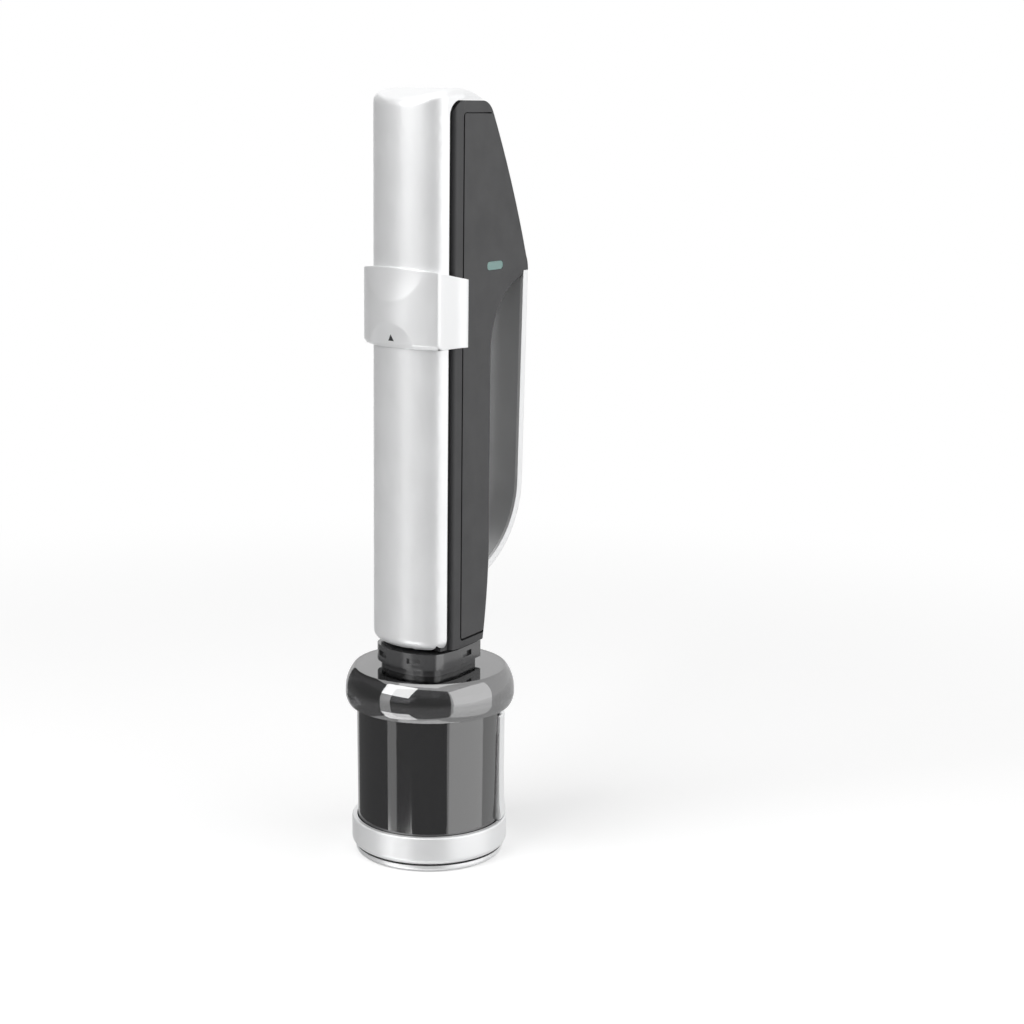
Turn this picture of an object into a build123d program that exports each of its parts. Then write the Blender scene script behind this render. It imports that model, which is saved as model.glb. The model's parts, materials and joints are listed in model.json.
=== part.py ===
from build123d import *

import os
from math import atan2, cos, hypot, radians, sin, sqrt

# A handheld gas charger standing on the stopper that it charges: a tall D-handled
# body with a hinged front cover, and below it a clamping stopper for a sparkling
# wine bottle. Millimetres. The origin is on the stopper's axis at the plane of its
# foot, +Z is up, the cover faces -Y and the handle loop is at +Y.

# ---------------------------------------------------------------- clearances
RUNNING_FIT = 0.05  # radial, for pins, rods and guided stems
MOVING_GAP = 0.3  # between pieces that move past each other
SEAT_GAP = 0.1  # around a piece that is pressed or dropped into its seat

# ---------------------------------------------------------------- stopper
STOPPER_TURN = 40.0  # degrees from +X to the lever's side of the stopper
NECK_BORE_R = 18.6  # guides the bottle's collar ring
FOOT_R = 32.4
FOOT_H = 2.9
GASKET_T = 0.6
RING_R = 34.1
RING_H = 12.5
RING_WEB = 4.5
RING_COLLAR_H = 9.5
RING_WALL = 2.2
RING_ROUND = 3.0
SHELL_R_TOP = 31.9
SHELL_R_LOW = 31.5
SHELL_BORE_R = 28.0
CORE_WALL = 3.0
CORE_BORE_EXTRA = 0.3  # the core's bore is this much wider than the ring's
CORE_SOCKET_H = 40.3  # from the core's foot to the underside of its web
CORE_WEB = 12.7
CORE_FLANGE_T = 3.6
SEAL_T = 4.9
SEAL_HOLE_R = 2.0
SHELL_OVER_CORE = 4.0
CAP_H = 8.0
CAP_STEP = 0.8  # the cap is this much slimmer than the shell
BASE_SCREW_R = 0.95
BASE_SCREW_HEAD_R = 1.5
BASE_SCREW_CIRCLE_R = 20.5
CAP_SCREW_R = 1.4
CAP_SCREW_HEAD_R = 2.5
CAP_SCREW_CIRCLE_R = 17.0

VALVE_R = 7.0
VALVE_SINK = 10.0  # how deep the valve body sits in the core
VALVE_STAND = 9.5  # how high it stands above the core
VALVE_FLANGE_R = 9.0
VALVE_FLANGE_T = 2.0
PORT_R = 4.5
VALVE_FLOOR_T = 3.0
POPPET_R = 3.3
POPPET_T = 1.7
POPPET_STEM_R = 1.0
POPPET_TRAVEL = 2.0
POPPET_SPRING_ROOM = POPPET_TRAVEL + 2.2
SEAT_RING_T = 1.5

# lever, its hinge leaf and keeper, and the clamp that it works
LEVER_DROP = 10.0  # pivot below the shell's top edge
LEVER_PIVOT_R = 28.6
LEVER_PIN_R = 1.0
KNUCKLE_R = 2.4
KNUCKLE_HALF_WIDTH = 6.9
LEVER_R = 32.8  # lever's outer face
LEVER_T = 1.95
LEVER_TOP_T = 1.5  # thinner over the hinge
LEVER_TOP_RISE = 3.6  # lever's top edge above its pivot
LEVER_TOP_SWEEP = 5.8  # and as high as that edge swings
LEVER_TOP_HALF_WIDTH = 10.6
LEVER_FLOOR_R = 29.5  # floor of the shell's channel for the lever
LEVER_HALF_ANGLE = 19.5
LEVER_LIP = 1.0
EAR_R = 2.0
EAR_T = 1.7
LEAF_T = 1.0
LEAF_DROP = 22.0  # leaf's foot below the pivot
KEEPER_T = 1.3
KEEPER_LIFT = 4.8  # keeper's foot above the pivot
KEEPER_TOP_ABOVE_SHELL = 5.5
FINGER_L = 4.0
FINGER_T = 1.4
FINGER_RISE = 42.5  # degrees above level at rest, and below it when open
FINGER_TIP_R = 0.8
FINGER_HALF_WIDTH = 3.4
JAW_COUNT = 3
JAW_LIFT = 10.0  # jaws above the core's foot
JAW_H = 8.0
JAW_HALF_WIDTH = 7.5
JAW_BITE = 2.2  # how far the closed jaws reach into the bore
JAW_TRAVEL = 1.9
CLAMP_WALL_R = 27.7
ARM_R_INNER = 24.4
ARM_R_OUTER = 25.9
ARM_HALF_WIDTH = 5.8

# ---------------------------------------------------------------- bell and neck
BELL_CLEAR_TOP = 6.0  # bell's top face above the stopper's cap
BELL_DROP = 16.5
BELL_RIM_OVER = 1.6  # bell's rim, bulge and mouth beyond the shell's radius
BELL_BULGE_OVER = 4.9
BELL_MOUTH_OVER = 3.5
BELL_WALL = 1.6
BELL_TOP_T = 2.2
BELL_HOLE_R = 8.5
NECK_H = 10.0
NECK_WALL = 2.2
NECK_INSET = 1.6
NECK_WAIST_H = 2.8
NECK_WAIST_INSET = 1.8
NECK_SLOT_DROP = 4.6
NECK_SLOT_H = 2.4
NECK_SLOT_DEPTH = 1.2
GUIDE_R = 6.4
NOZZLE_R = 4.0
NOZZLE_FLANGE_R = 6.6
NOZZLE_FLANGE_T = 1.5
NOZZLE_TRAVEL = 3.0
NOZZLE_BORE_R = 1.2

# ---------------------------------------------------------------- charger body
BODY_OVER_NECK = 1.0
BODY_H = 230.2
BODY_HALF_WIDTH = 19.8
BODY_FRONT_Y = -8.0
BODY_EDGE_ROUND = 2.0
TAPER_FROM_Y = -2.5
TAPER = 0.192  # half width lost per millimetre towards the handle
PANEL_T = 2.0
GROOVE_W = 0.9
GROOVE_TOP_W = 0.5  # narrower across the panel's head
PANEL_FOOT = 3.8
PANEL_HEAD = 5.2
PANEL_ROUND = 2.0
PANEL_MARGIN = 1.2  # panel's rear edges in from the body's
BACK_Y = 22.4
BACK_FOOT_Y = 18.3
BACK_CURVE_H = 55.0  # height over which the back curves in towards its foot
FOOT_CHAMFER = 1.2
KNEE_Y = 49.6
KNEE_RISE = 164.4  # knee above the body's foot
KNEE_BLEND = 6.2  # rounded tip of the knee, down to the bow
CROWN_Y = 20.9
CROWN_DROP = 4.9
CROWN_BACK = 8.4  # length of the rounded rear corner of the top
SLOPE_BULGE = 1.5  # how far the slope between crown and knee stands out from its chord
CHIN_R = 6.0  # rounded front corner of the top, under the cover
REAR_ROUND = 3.5  # rounded edges of the back and of the arch
ARCH_H = 27.8
ARCH_UNDER_BOW = 3.4  # tip of the arch below the bow's upper end
BOW_Y = 49.1  # back face of the handle bow where its bend begins
BOW_LEAN = 2.2  # and this much further back at its upper end
BOW_T = 3.7
BOW_HALF_WIDTH = 10.0
BOW_BEND_RISE = 67.0
BOW_BEND_R = 44.7
BOW_EDGE = 1.1
LINER_T = 1.5
LINER_INSET = 1.5
TONGUE_HALF_WIDTH = 5.0
TONGUE_INSET = 0.6

STEP_HALF_WIDTH = 17.6
STEP_Y = -12.5
BAY_HALF_WIDTH = 13.0
BAY_FLOOR = 33.0
BAY_OVER_PEG = 13.7
REG_FLOOR = 2.0

# ---------------------------------------------------------------- gas train
REG_R = 12.2
REG_H = 23.0
REG_CHAMBER_R = 8.0
REG_CHAMBER_H = 8.0
REG_SHELF_T = 2.0
REG_SHELF_HOLE_R = 3.0
REG_UPPER_H = 10.5
REG_NOSE_R = 9.0
REG_NOSE_H = 6.0
PISTON_T = 3.0
PISTON_STEM_R = 2.6
PISTON_TRAVEL = 1.0
SOCKET_R = 10.8
SOCKET_H = 8.0
SOCKET_FLOOR = 3.0
CAPSULE_R = 11.0
CAPSULE_L = 89.0
CAPSULE_NECK_R = 4.3
CAPSULE_NECK_L = 9.0
NEEDLE_R = 0.9
NEEDLE_REACH = 2.4
CUP_WALL = 1.4
CUP_DEPTH = 17.0
CUP_LID = 2.7
CUP_STEM_R = 4.0
CUP_STEM_H = 6.0
CUP_LIFT = 3.0
PEG_H = 3.5
PEG_HALF_WIDTH = 4.0
GAS_PORT_RISE = 14.0  # side port above the regulator's foot
TUBE_R = 1.4
TUBE_Y = 16.0

# ---------------------------------------------------------------- indicator
WINDOW_Y = 23.5
WINDOW_UNDER_KNEE = 2.6
WINDOW_L = 12.9
WINDOW_H = 3.8
FLAG_FRONT_L = 7.0
FLAG_REAR_L = 8.6
FLAG_ROD_Y = 19.6
FLAG_H = 9.0
FLAG_T = 2.0
FLAG_TRAVEL = 3.2
FLAG_ROOM_TOP = FLAG_TRAVEL + 2.8
FLAG_ROD_R = 1.2
CYLINDER_R = 3.4
CYLINDER_H = 11.0

# ---------------------------------------------------------------- front cover
COVER_HALF_WIDTH = 20.0
COVER_RIM_Y = -11.2
COVER_BULGE = 12.2
COVER_WALL = 1.8
COVER_LIFT = 0.5  # cover's foot above the body's foot
COVER_FOOT_ROUND = 5.0
COVER_CROWN = 4.9  # crown above the body's top
COVER_CROWN_Y = -3.0
COVER_LID_REAR_Y = 13.6
COVER_CROWN_FALL = 3.9  # the crown's rear edge below its top
COVER_CROWN_FRONT_FALL = 5.6
COVER_CORNER_R = 7.0  # where the cover's side edge turns into the lid's
COVER_EDGE_ROUND = 4.2
HINGE_Y = -17.0
HINGE_RISE = 6.0
HINGE_PIN_R = 1.2
HINGE_KNUCKLE_R = 2.9
LUG_INNER_X = 5.2
LUG_T = 3.0
HINGE_RELIEF_R = 6.2
COVER_SILL_Y = -15.4

CLASP_H = 33.3
CLASP_UNDER_PEG = 4.3
CLASP_SLOPE = 0.2  # how fast its top edge falls towards the handle
CLASP_SIDE = 2.0  # clasp's outer side beyond the cover's
CLASP_BEND_X = 19.6  # where the curved front ends
CLASP_BEND_Y = -21.0
CLASP_CORNER_Y = -18.0
CLASP_FRONT_Y = -26.6
CLASP_FLANGE_Y = -2.3
CLASP_REAR_L = 5.2  # bevelled rear strip of each flange
CLASP_REAR_T = 0.8
CLASP_REAR_ROUND = 2.5
CLASP_TRAVEL = 12.0
DISH_R = 34.0  # upper dish in the clasp's front
DISH_DEPTH = 1.6
THUMB_R = 16.0  # and the small one above its lower lip
THUMB_DEPTH = 0.7
THUMB_RISE = 5.4
STUD_HALF_WIDTH = 3.0
STUD_H = 5.0
STUD_RISE = 13.6  # stud above the clasp's foot
SLIDER_HALF_WIDTH = 7.0
SLIDER_T = 3.0
SLIDER_FOOT = 8.6  # slider below the clasp's foot
SLIDER_H = 30.0

# ---------------------------------------------------------------- levels
RING_Z = FOOT_H + GASKET_T
RING_TOP_Z = RING_Z + RING_H
SHELL_Z = RING_Z + RING_WEB
CORE_Z = RING_Z + RING_COLLAR_H
JAW_Z = CORE_Z + JAW_LIFT
WEB_Z = CORE_Z + CORE_SOCKET_H
CORE_TOP_Z = WEB_Z + CORE_WEB
SHELL_TOP_Z = CORE_TOP_Z + SHELL_OVER_CORE
CAP_TOP_Z = SHELL_TOP_Z + CAP_H
PIVOT_Z = SHELL_TOP_Z - LEVER_DROP
BELL_RIM_R = SHELL_R_TOP + BELL_RIM_OVER
BELL_BULGE_R = SHELL_R_TOP + BELL_BULGE_OVER
BELL_MOUTH_R = SHELL_R_TOP + BELL_MOUTH_OVER
BELL_TOP_Z = CAP_TOP_Z + BELL_CLEAR_TOP
BELL_MOUTH_Z = BELL_TOP_Z - BELL_DROP
NECK_TOP_Z = BELL_TOP_Z + NECK_H
BODY_Z = NECK_TOP_Z + BODY_OVER_NECK
BODY_TOP_Z = BODY_Z + BODY_H
REG_Z = BODY_Z + REG_FLOOR
BAY_Z = BODY_Z + BAY_FLOOR
SOCKET_Z = REG_Z + REG_H + REG_NOSE_H
CAPSULE_Z = SOCKET_Z + SOCKET_FLOOR + 2.0 * SEAT_GAP + 1.8
CAPSULE_TOP_Z = CAPSULE_Z + CAPSULE_L
CUP_LID_Z = CAPSULE_TOP_Z + SEAT_GAP
PEG_Z = CUP_LID_Z + CUP_LID + CUP_STEM_H
BAY_TOP_Z = PEG_Z + PEG_H + BAY_OVER_PEG
CLASP_Z = PEG_Z - CLASP_UNDER_PEG
KNEE_Z = BODY_Z + KNEE_RISE
BOW_TOP_Z = KNEE_Z - KNEE_BLEND
BOW_TOP_Y = BOW_Y + BOW_LEAN
BOW_BEND_Z = BODY_Z + BOW_BEND_RISE
ARCH_TIP_Z = BOW_TOP_Z - ARCH_UNDER_BOW
ARCH_FOOT_Z = ARCH_TIP_Z - ARCH_H
WINDOW_Z = KNEE_Z - WINDOW_UNDER_KNEE
HINGE_Z = BODY_Z + HINGE_RISE
COVER_Z = BODY_Z + COVER_LIFT
CORE_R = NECK_BORE_R + CORE_BORE_EXTRA + CORE_WALL
FAR = 60.0  # beyond any face of the object, for cutting shapes


# ---------------------------------------------------------------- shape helpers
def tube(outer, inner, low, high, x=0.0, y=0.0):
    """An upright ring between two heights."""
    ring = Circle(outer) - Circle(inner) if inner else Circle(outer)
    return Pos(x, y, low) * extrude(ring, high - low)


def block(x0, x1, y0, y1, z0, z1):
    """A box from its two corners."""
    middle = Pos((x0 + x1) / 2, (y0 + y1) / 2, (z0 + z1) / 2)
    return middle * Box(x1 - x0, y1 - y0, z1 - z0)


def rod_x(radius, x0, x1, y, z):
    """A cylinder along X."""
    return Pos((x0 + x1) / 2, y, z) * Rot(0, 90, 0) * Cylinder(radius, x1 - x0)


def rod_y(radius, y0, y1, x, z):
    """A cylinder along Y."""
    return Pos(x, (y0 + y1) / 2, z) * Rot(90, 0, 0) * Cylinder(radius, y1 - y0)


def turned(*points):
    """A solid turned about Z from (radius, height) corners."""
    return revolve(Plane.XZ * make_face(Polyline(*points, close=True)), Axis.Z)


def from_side(face, half_width):
    """A face drawn in (Y, Z), given a thickness both ways along X."""
    return extrude(Plane.YZ * face, half_width, both=True)


def from_top(face, low, high):
    """A face drawn in (X, Y), between two heights."""
    return Pos(0, 0, low) * extrude(face, high - low)


def spring(mean_radius, wire_radius, low, high, turns):
    """An open coil that spans exactly from one height to the other."""
    rise = high - low - 2 * wire_radius
    line = Pos(0, 0, low + wire_radius) * Helix(rise / turns, rise, mean_radius)
    section = Plane(origin=line @ 0, z_dir=line % 0) * RegularPolygon(wire_radius, 6)
    return sweep(section, path=line, is_frenet=True)


def half_width(y, inset=0.0):
    """Half the body's width at a depth, narrowing towards the handle."""
    return BODY_HALF_WIDTH - inset - TAPER * max(0.0, y - TAPER_FROM_Y)


# ---------------------------------------------------------------- stopper pieces
def foot_ring():
    """Bright lip under the base ring, with the face that the stopper stands on."""
    lip = tube(FOOT_R, NECK_BORE_R, 0, FOOT_H)
    lip = fillet(lip.edges().group_by(Axis.Z)[0].sort_by(SortBy.LENGTH)[-1], 1.9)
    for turn in range(JAW_COUNT):
        lip -= Rot(0, 0, 120 * turn) * base_screw_space()
    return lip


def base_screw_space():
    """Stepped hole for one base screw, from under the foot."""
    x = BASE_SCREW_CIRCLE_R
    shank = tube(BASE_SCREW_R + SEAT_GAP, 0, -1, CORE_Z + 7, x)
    return shank + tube(BASE_SCREW_HEAD_R + SEAT_GAP, 0, -1, 1.9, x)


def base_screws():
    """Three screws that hold foot, gasket and ring to the core."""
    x = BASE_SCREW_CIRCLE_R
    screws = []
    for turn in range(JAW_COUNT):
        screw = tube(BASE_SCREW_R, 0, 1.8, CORE_Z + 6.5, x)
        screw += tube(BASE_SCREW_HEAD_R, 0, 0.3, 1.9, x)
        screw -= block(x - 2, x + 2, -0.35, 0.35, 0, 0.9)
        screws.append(Rot(0, 0, 120 * turn) * screw)
    return Part() + screws


def ring_gasket():
    """Dark gasket that shows as a line between foot and ring."""
    gasket = tube(FOOT_R - 0.3, NECK_BORE_R, FOOT_H, RING_Z)
    for turn in range(JAW_COUNT):
        gasket -= Rot(0, 0, 120 * turn) * base_screw_space()
    return gasket


def base_ring():
    """Satin ring: outer wall, web, and the collar whose bore guides the bottle."""
    wall_r = RING_R - RING_WALL
    blank = tube(RING_R, NECK_BORE_R, RING_Z, RING_TOP_Z)
    rims = blank.edges().group_by(SortBy.LENGTH)[-1].sort_by(Axis.Z)
    blank = fillet(rims[0], RING_ROUND)
    rims = blank.edges().group_by(SortBy.LENGTH)[-1].sort_by(Axis.Z)
    blank = fillet(rims[-1], 0.8)
    blank -= tube(wall_r, CORE_R, SHELL_Z, RING_TOP_Z + 1)
    blank -= tube(wall_r, NECK_BORE_R - 1, CORE_Z, RING_TOP_Z + 1)
    for turn in range(JAW_COUNT):
        blank -= Rot(0, 0, 120 * turn) * base_screw_space()
    return blank


def stopper_shell():
    """Gloss sleeve, with a channel for the lever and a window for its hinge."""
    shell = turned(
        (SHELL_BORE_R, SHELL_Z),
        (SHELL_R_LOW, SHELL_Z),
        (SHELL_R_LOW, RING_TOP_Z),
        (SHELL_R_TOP, BELL_MOUTH_Z - 4),
        (SHELL_R_TOP, SHELL_TOP_Z),
        (SHELL_BORE_R, SHELL_TOP_Z),
    )
    top = PIVOT_Z + LEVER_TOP_SWEEP
    channel = tube(FAR, LEVER_FLOOR_R, SHELL_Z - 1, top)
    shell -= channel & sector(LEVER_HALF_ANGLE + 1.5, SHELL_Z - 1, top)
    half = LEVER_TOP_HALF_WIDTH + MOVING_GAP
    bottom = PIVOT_Z - KNUCKLE_R - 3 * MOVING_GAP
    return shell - block(SHELL_BORE_R - 5, FAR, -half, half, bottom, top)


def sector(half_angle, low, high):
    """A wedge about Z, centred on +X."""
    reach = FAR * 2
    side = (reach * cos(radians(half_angle)), reach * sin(radians(half_angle)))
    wedge = make_face(Polyline((0, 0), side, (side[0], -side[1]), close=True))
    return from_top(wedge, low, high)


def inner_core():
    """The stopper's structure: bottle socket, jaw windows and valve seat."""
    socket_r = NECK_BORE_R + CORE_BORE_EXTRA
    core = tube(CORE_R, 0, CORE_Z, CORE_TOP_Z)
    flange_z = CORE_TOP_Z - CORE_FLANGE_T
    core += tube(SHELL_BORE_R - SEAT_GAP, 0, flange_z, CORE_TOP_Z)
    core -= tube(socket_r, 0, CORE_Z - 1, WEB_Z)
    core -= tube(VALVE_R + SEAT_GAP, 0, CORE_TOP_Z - VALVE_SINK, CORE_TOP_Z + 1)
    core -= tube(POPPET_STEM_R * 1.6, 0, WEB_Z - 1, CORE_TOP_Z)
    half = LEVER_TOP_HALF_WIDTH + MOVING_GAP
    notch_x = ARM_R_INNER * cos(radians(LEVER_HALF_ANGLE))
    core -= block(notch_x, FAR, -half, half, flange_z - 1, CORE_TOP_Z + 1)
    window = block(
        0,
        FAR,
        -JAW_HALF_WIDTH - MOVING_GAP,
        JAW_HALF_WIDTH + MOVING_GAP,
        JAW_Z - MOVING_GAP,
        JAW_Z + JAW_H + MOVING_GAP,
    )
    for turn in range(JAW_COUNT):
        core -= Rot(0, 0, jaw_angle(turn)) * window
        core -= Rot(0, 0, 120 * turn) * base_screw_space()
        core -= Rot(0, 0, 120 * turn) * cap_screw_space()
    return core


def cap_screw_space():
    """Blind hole for one cap screw in the top of the core."""
    x = CAP_SCREW_CIRCLE_R
    return tube(CAP_SCREW_R + SEAT_GAP, 0, CORE_TOP_Z - 8, CAP_TOP_Z + 1, x)


def cap_screws():
    """Three screws from the cap into the core."""
    head_z = cap_face_z(CAP_SCREW_CIRCLE_R) - 2.4
    screws = []
    for turn in range(JAW_COUNT):
        screw = tube(CAP_SCREW_R, 0, CORE_TOP_Z - 7.5, head_z + 0.1, CAP_SCREW_CIRCLE_R)
        screw += tube(CAP_SCREW_HEAD_R, 0, head_z, head_z + 1.8, CAP_SCREW_CIRCLE_R)
        screws.append(Rot(0, 0, 120 * turn) * screw)
    return Part() + screws


def cap_face_z(radius):
    """Height of the cap's gently dished top at a radius."""
    outer = SHELL_R_TOP - CAP_STEP - 3
    inner = VALVE_R + SEAT_GAP
    share = (radius - inner) / (outer - inner)
    return CAP_TOP_Z - 2.5 + 2.5 * share


def top_cap():
    """Gloss cap over the valve, dished towards the charging port."""
    outer = SHELL_R_TOP - CAP_STEP
    hole = VALVE_R + SEAT_GAP
    cap = turned(
        (VALVE_FLANGE_R + SEAT_GAP, CORE_TOP_Z),
        (SHELL_BORE_R - SEAT_GAP, CORE_TOP_Z),
        (SHELL_BORE_R - SEAT_GAP, SHELL_TOP_Z),
        (outer, SHELL_TOP_Z),
        (outer, CAP_TOP_Z - 2),
        (outer - 0.6, CAP_TOP_Z - 0.6),
        (outer - 3, CAP_TOP_Z),
        (hole, cap_face_z(hole)),
        (hole, CORE_TOP_Z + VALVE_FLANGE_T + SEAT_GAP),
        (VALVE_FLANGE_R + SEAT_GAP, CORE_TOP_Z + VALVE_FLANGE_T + SEAT_GAP),
    )
    head_z = cap_face_z(CAP_SCREW_CIRCLE_R) - 2.4
    for turn in range(JAW_COUNT):
        cap -= Rot(0, 0, 120 * turn) * cap_screw_space()
        pocket = tube(CAP_SCREW_HEAD_R + SEAT_GAP, 0, head_z, FAR * 2, CAP_SCREW_CIRCLE_R)
        cap -= Rot(0, 0, 120 * turn) * pocket
    return cap


def bottle_seal():
    """Soft disc that the bottle's mouth presses on, with a raised sealing bead."""
    edge = NECK_BORE_R + CORE_BORE_EXTRA - SEAT_GAP
    low = WEB_Z - SEAL_T
    return turned(
        (SEAL_HOLE_R, WEB_Z),
        (SEAL_HOLE_R, low - 3),
        (SEAL_HOLE_R + 2.5, low - 3),
        (SEAL_HOLE_R + 4, low),
        (edge - 7, low),
        (edge - 6, low - 1),
        (edge - 3, low - 1),
        (edge - 2, low),
        (edge, low + 1),
        (edge, WEB_Z),
    )


VALVE_Z = CORE_TOP_Z - VALVE_SINK
VALVE_TOP_Z = CORE_TOP_Z + VALVE_STAND
POPPET_Z = VALVE_Z + VALVE_FLOOR_T + POPPET_SPRING_ROOM
SEAT_RING_Z = POPPET_Z + POPPET_T + SEAT_GAP


def valve_body():
    """Turned body of the charging valve, with the port that the nozzle enters."""
    floor = VALVE_Z + VALVE_FLOOR_T
    return turned(
        (POPPET_STEM_R + RUNNING_FIT, VALVE_Z),
        (VALVE_R, VALVE_Z),
        (VALVE_R, CORE_TOP_Z),
        (VALVE_FLANGE_R, CORE_TOP_Z),
        (VALVE_FLANGE_R, CORE_TOP_Z + VALVE_FLANGE_T),
        (VALVE_R, CORE_TOP_Z + VALVE_FLANGE_T),
        (VALVE_R, VALVE_TOP_Z - 1),
        (VALVE_R - 1, VALVE_TOP_Z),
        (PORT_R + 1.4, VALVE_TOP_Z),
        (PORT_R, VALVE_TOP_Z - 1.4),
        (PORT_R, floor),
        (POPPET_STEM_R + RUNNING_FIT, floor),
    )


def valve_poppet():
    """Check valve's poppet and stem."""
    stem = tube(POPPET_STEM_R, 0, VALVE_Z + 0.8, POPPET_Z + 0.1)
    head = turned(
        (0, POPPET_Z),
        (POPPET_R, POPPET_Z),
        (POPPET_R, POPPET_Z + POPPET_T - 0.6),
        (POPPET_R - 1.2, POPPET_Z + POPPET_T),
        (0, POPPET_Z + POPPET_T),
    )
    return stem + head


def valve_seat():
    """Soft ring that the poppet closes against from below."""
    return tube(PORT_R - RUNNING_FIT, 2.0, SEAT_RING_Z, SEAT_RING_Z + SEAT_RING_T)


def valve_spring():
    """Spring that closes the poppet."""
    return spring(2.3, 0.28, VALVE_Z + VALVE_FLOOR_T, POPPET_Z, 3)


def lever_leaf():
    """Hinge leaf on the channel's floor, whose two ears hold the lever's pin."""
    inner = LEVER_FLOOR_R + RUNNING_FIT
    outer = inner + LEAF_T
    edge = KNUCKLE_HALF_WIDTH + MOVING_GAP
    side = edge + EAR_T
    low = PIVOT_Z - LEAF_DROP
    high = PIVOT_Z - KNUCKLE_R - 2 * MOVING_GAP
    leaf = tube(outer, inner, low, high) & block(0, FAR, -side, side, low, high)
    for y0, y1 in ((-side, -edge), (edge, side)):
        post = tube(outer, inner, high - 2, PIVOT_Z) & block(0, FAR, y0, y1, 0, FAR * 2)
        ear = rod_y(EAR_R, y0, y1, LEVER_PIVOT_R, PIVOT_Z)
        leaf += post + (ear & tube(LEVER_R - LEVER_TOP_T - MOVING_GAP, 0, 0, FAR * 2))
    return leaf - lever_pin_bore()


def lever_keeper():
    """Bright trim above the lever, which carries its line up under the bell."""
    inner = SHELL_R_TOP + RUNNING_FIT
    low = PIVOT_Z + KEEPER_LIFT
    high = SHELL_TOP_Z + KEEPER_TOP_ABOVE_SHELL
    return tube(inner + KEEPER_T, inner, low, high) & sector(LEVER_HALF_ANGLE, low, high)


def lever_pin_bore():
    """Bore for the lever's pin, with running clearance."""
    return rod_y(LEVER_PIN_R + RUNNING_FIT, -FAR, FAR, LEVER_PIVOT_R, PIVOT_Z)


def lever_pin():
    """Pin through the ears and the lever's knuckle."""
    half = KNUCKLE_HALF_WIDTH + MOVING_GAP + EAR_T
    return rod_y(LEVER_PIN_R, -half, half, LEVER_PIVOT_R, PIVOT_Z)


def lever():
    """Curved clamping lever lying in the shell's channel, with knuckle and finger."""
    inner = LEVER_R - LEVER_T
    skin = LEVER_R - LEVER_TOP_T
    low = RING_TOP_Z + 2 * MOVING_GAP
    hinge_z = PIVOT_Z - KNUCKLE_R - 2 * MOVING_GAP
    high = PIVOT_Z + LEVER_TOP_RISE
    plate = turned(
        (inner, low),
        (LEVER_R + LEVER_LIP - 0.5, low),
        (LEVER_R + LEVER_LIP, low + 1.2),
        (LEVER_R + 0.2, low + 7),
        (LEVER_R, low + 20),
        (LEVER_R, high - 0.5),
        (LEVER_R - 0.5, high),
        (skin, high),
        (skin, hinge_z),
        (inner, hinge_z),
    )
    plate &= sector(LEVER_HALF_ANGLE, low, high)
    neck = KNUCKLE_HALF_WIDTH
    ear_end = neck + 2 * MOVING_GAP + EAR_T
    for side in (-1, 1):
        y0, y1 = sorted((side * LEVER_TOP_HALF_WIDTH, side * FAR))
        plate -= block(0, FAR, y0, y1, hinge_z - 1, high + 1)
        y0, y1 = sorted((side * neck, side * ear_end))
        plate -= rod_y(EAR_R + MOVING_GAP, y0, y1, LEVER_PIVOT_R, PIVOT_Z)
    knuckle = rod_y(KNUCKLE_R, -neck, neck, LEVER_PIVOT_R, PIVOT_Z)
    knuckle += block(LEVER_PIVOT_R, skin + 0.5, -neck, neck, PIVOT_Z - KNUCKLE_R, PIVOT_Z)
    half = FINGER_HALF_WIDTH
    finger = block(-FINGER_L, 0, -half, half, -FINGER_T / 2, FINGER_T / 2)
    finger += rod_y(FINGER_TIP_R, -half, half, -FINGER_L, 0)
    reach = Pos(LEVER_PIVOT_R, 0, PIVOT_Z) * Rot(0, FINGER_RISE, 0)
    return plate + knuckle + reach * finger - lever_pin_bore()


def finger_drop():
    """How far the lever's finger moves down when the lever is fully open."""
    return 2 * FINGER_L * sin(radians(FINGER_RISE))


def ramp():
    """Radius gained per millimetre of height on the clamp's cone."""
    return JAW_TRAVEL / finger_drop()


def clamp_ring():
    """Ring whose cone closes the jaws, with the arm that the lever's finger drives."""
    low = JAW_Z - 2
    start = CORE_R + 0.4
    cone_top = JAW_Z + JAW_H + finger_drop() + MOVING_GAP
    body = turned(
        (start, low),
        (CLAMP_WALL_R, low),
        (CLAMP_WALL_R, cone_top),
        (start + ramp() * (cone_top - JAW_Z), cone_top),
        (start, JAW_Z),
    )
    tip_z = PIVOT_Z + FINGER_L * sin(radians(FINGER_RISE))
    arm_top = tip_z + FINGER_TIP_R + 1.9
    arm = tube(ARM_R_OUTER, ARM_R_INNER, cone_top - 3, arm_top)
    arm &= block(0, FAR, -ARM_HALF_WIDTH, ARM_HALF_WIDTH, 0, arm_top)
    half = ARM_HALF_WIDTH
    bridge = tube(CLAMP_WALL_R, ARM_R_INNER, cone_top - 4, cone_top)
    arm += bridge & block(0, FAR, -half, half, 0, FAR)
    notch_half = FINGER_HALF_WIDTH + MOVING_GAP
    reach = FINGER_TIP_R + 3 * MOVING_GAP
    arm -= block(0, FAR, -notch_half, notch_half, tip_z - reach, tip_z + reach)
    return body + arm


def jaw_angle(index):
    """Where a jaw stands, between the lever's side and the next jaw."""
    return 360 / JAW_COUNT * (index + 0.5)


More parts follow.
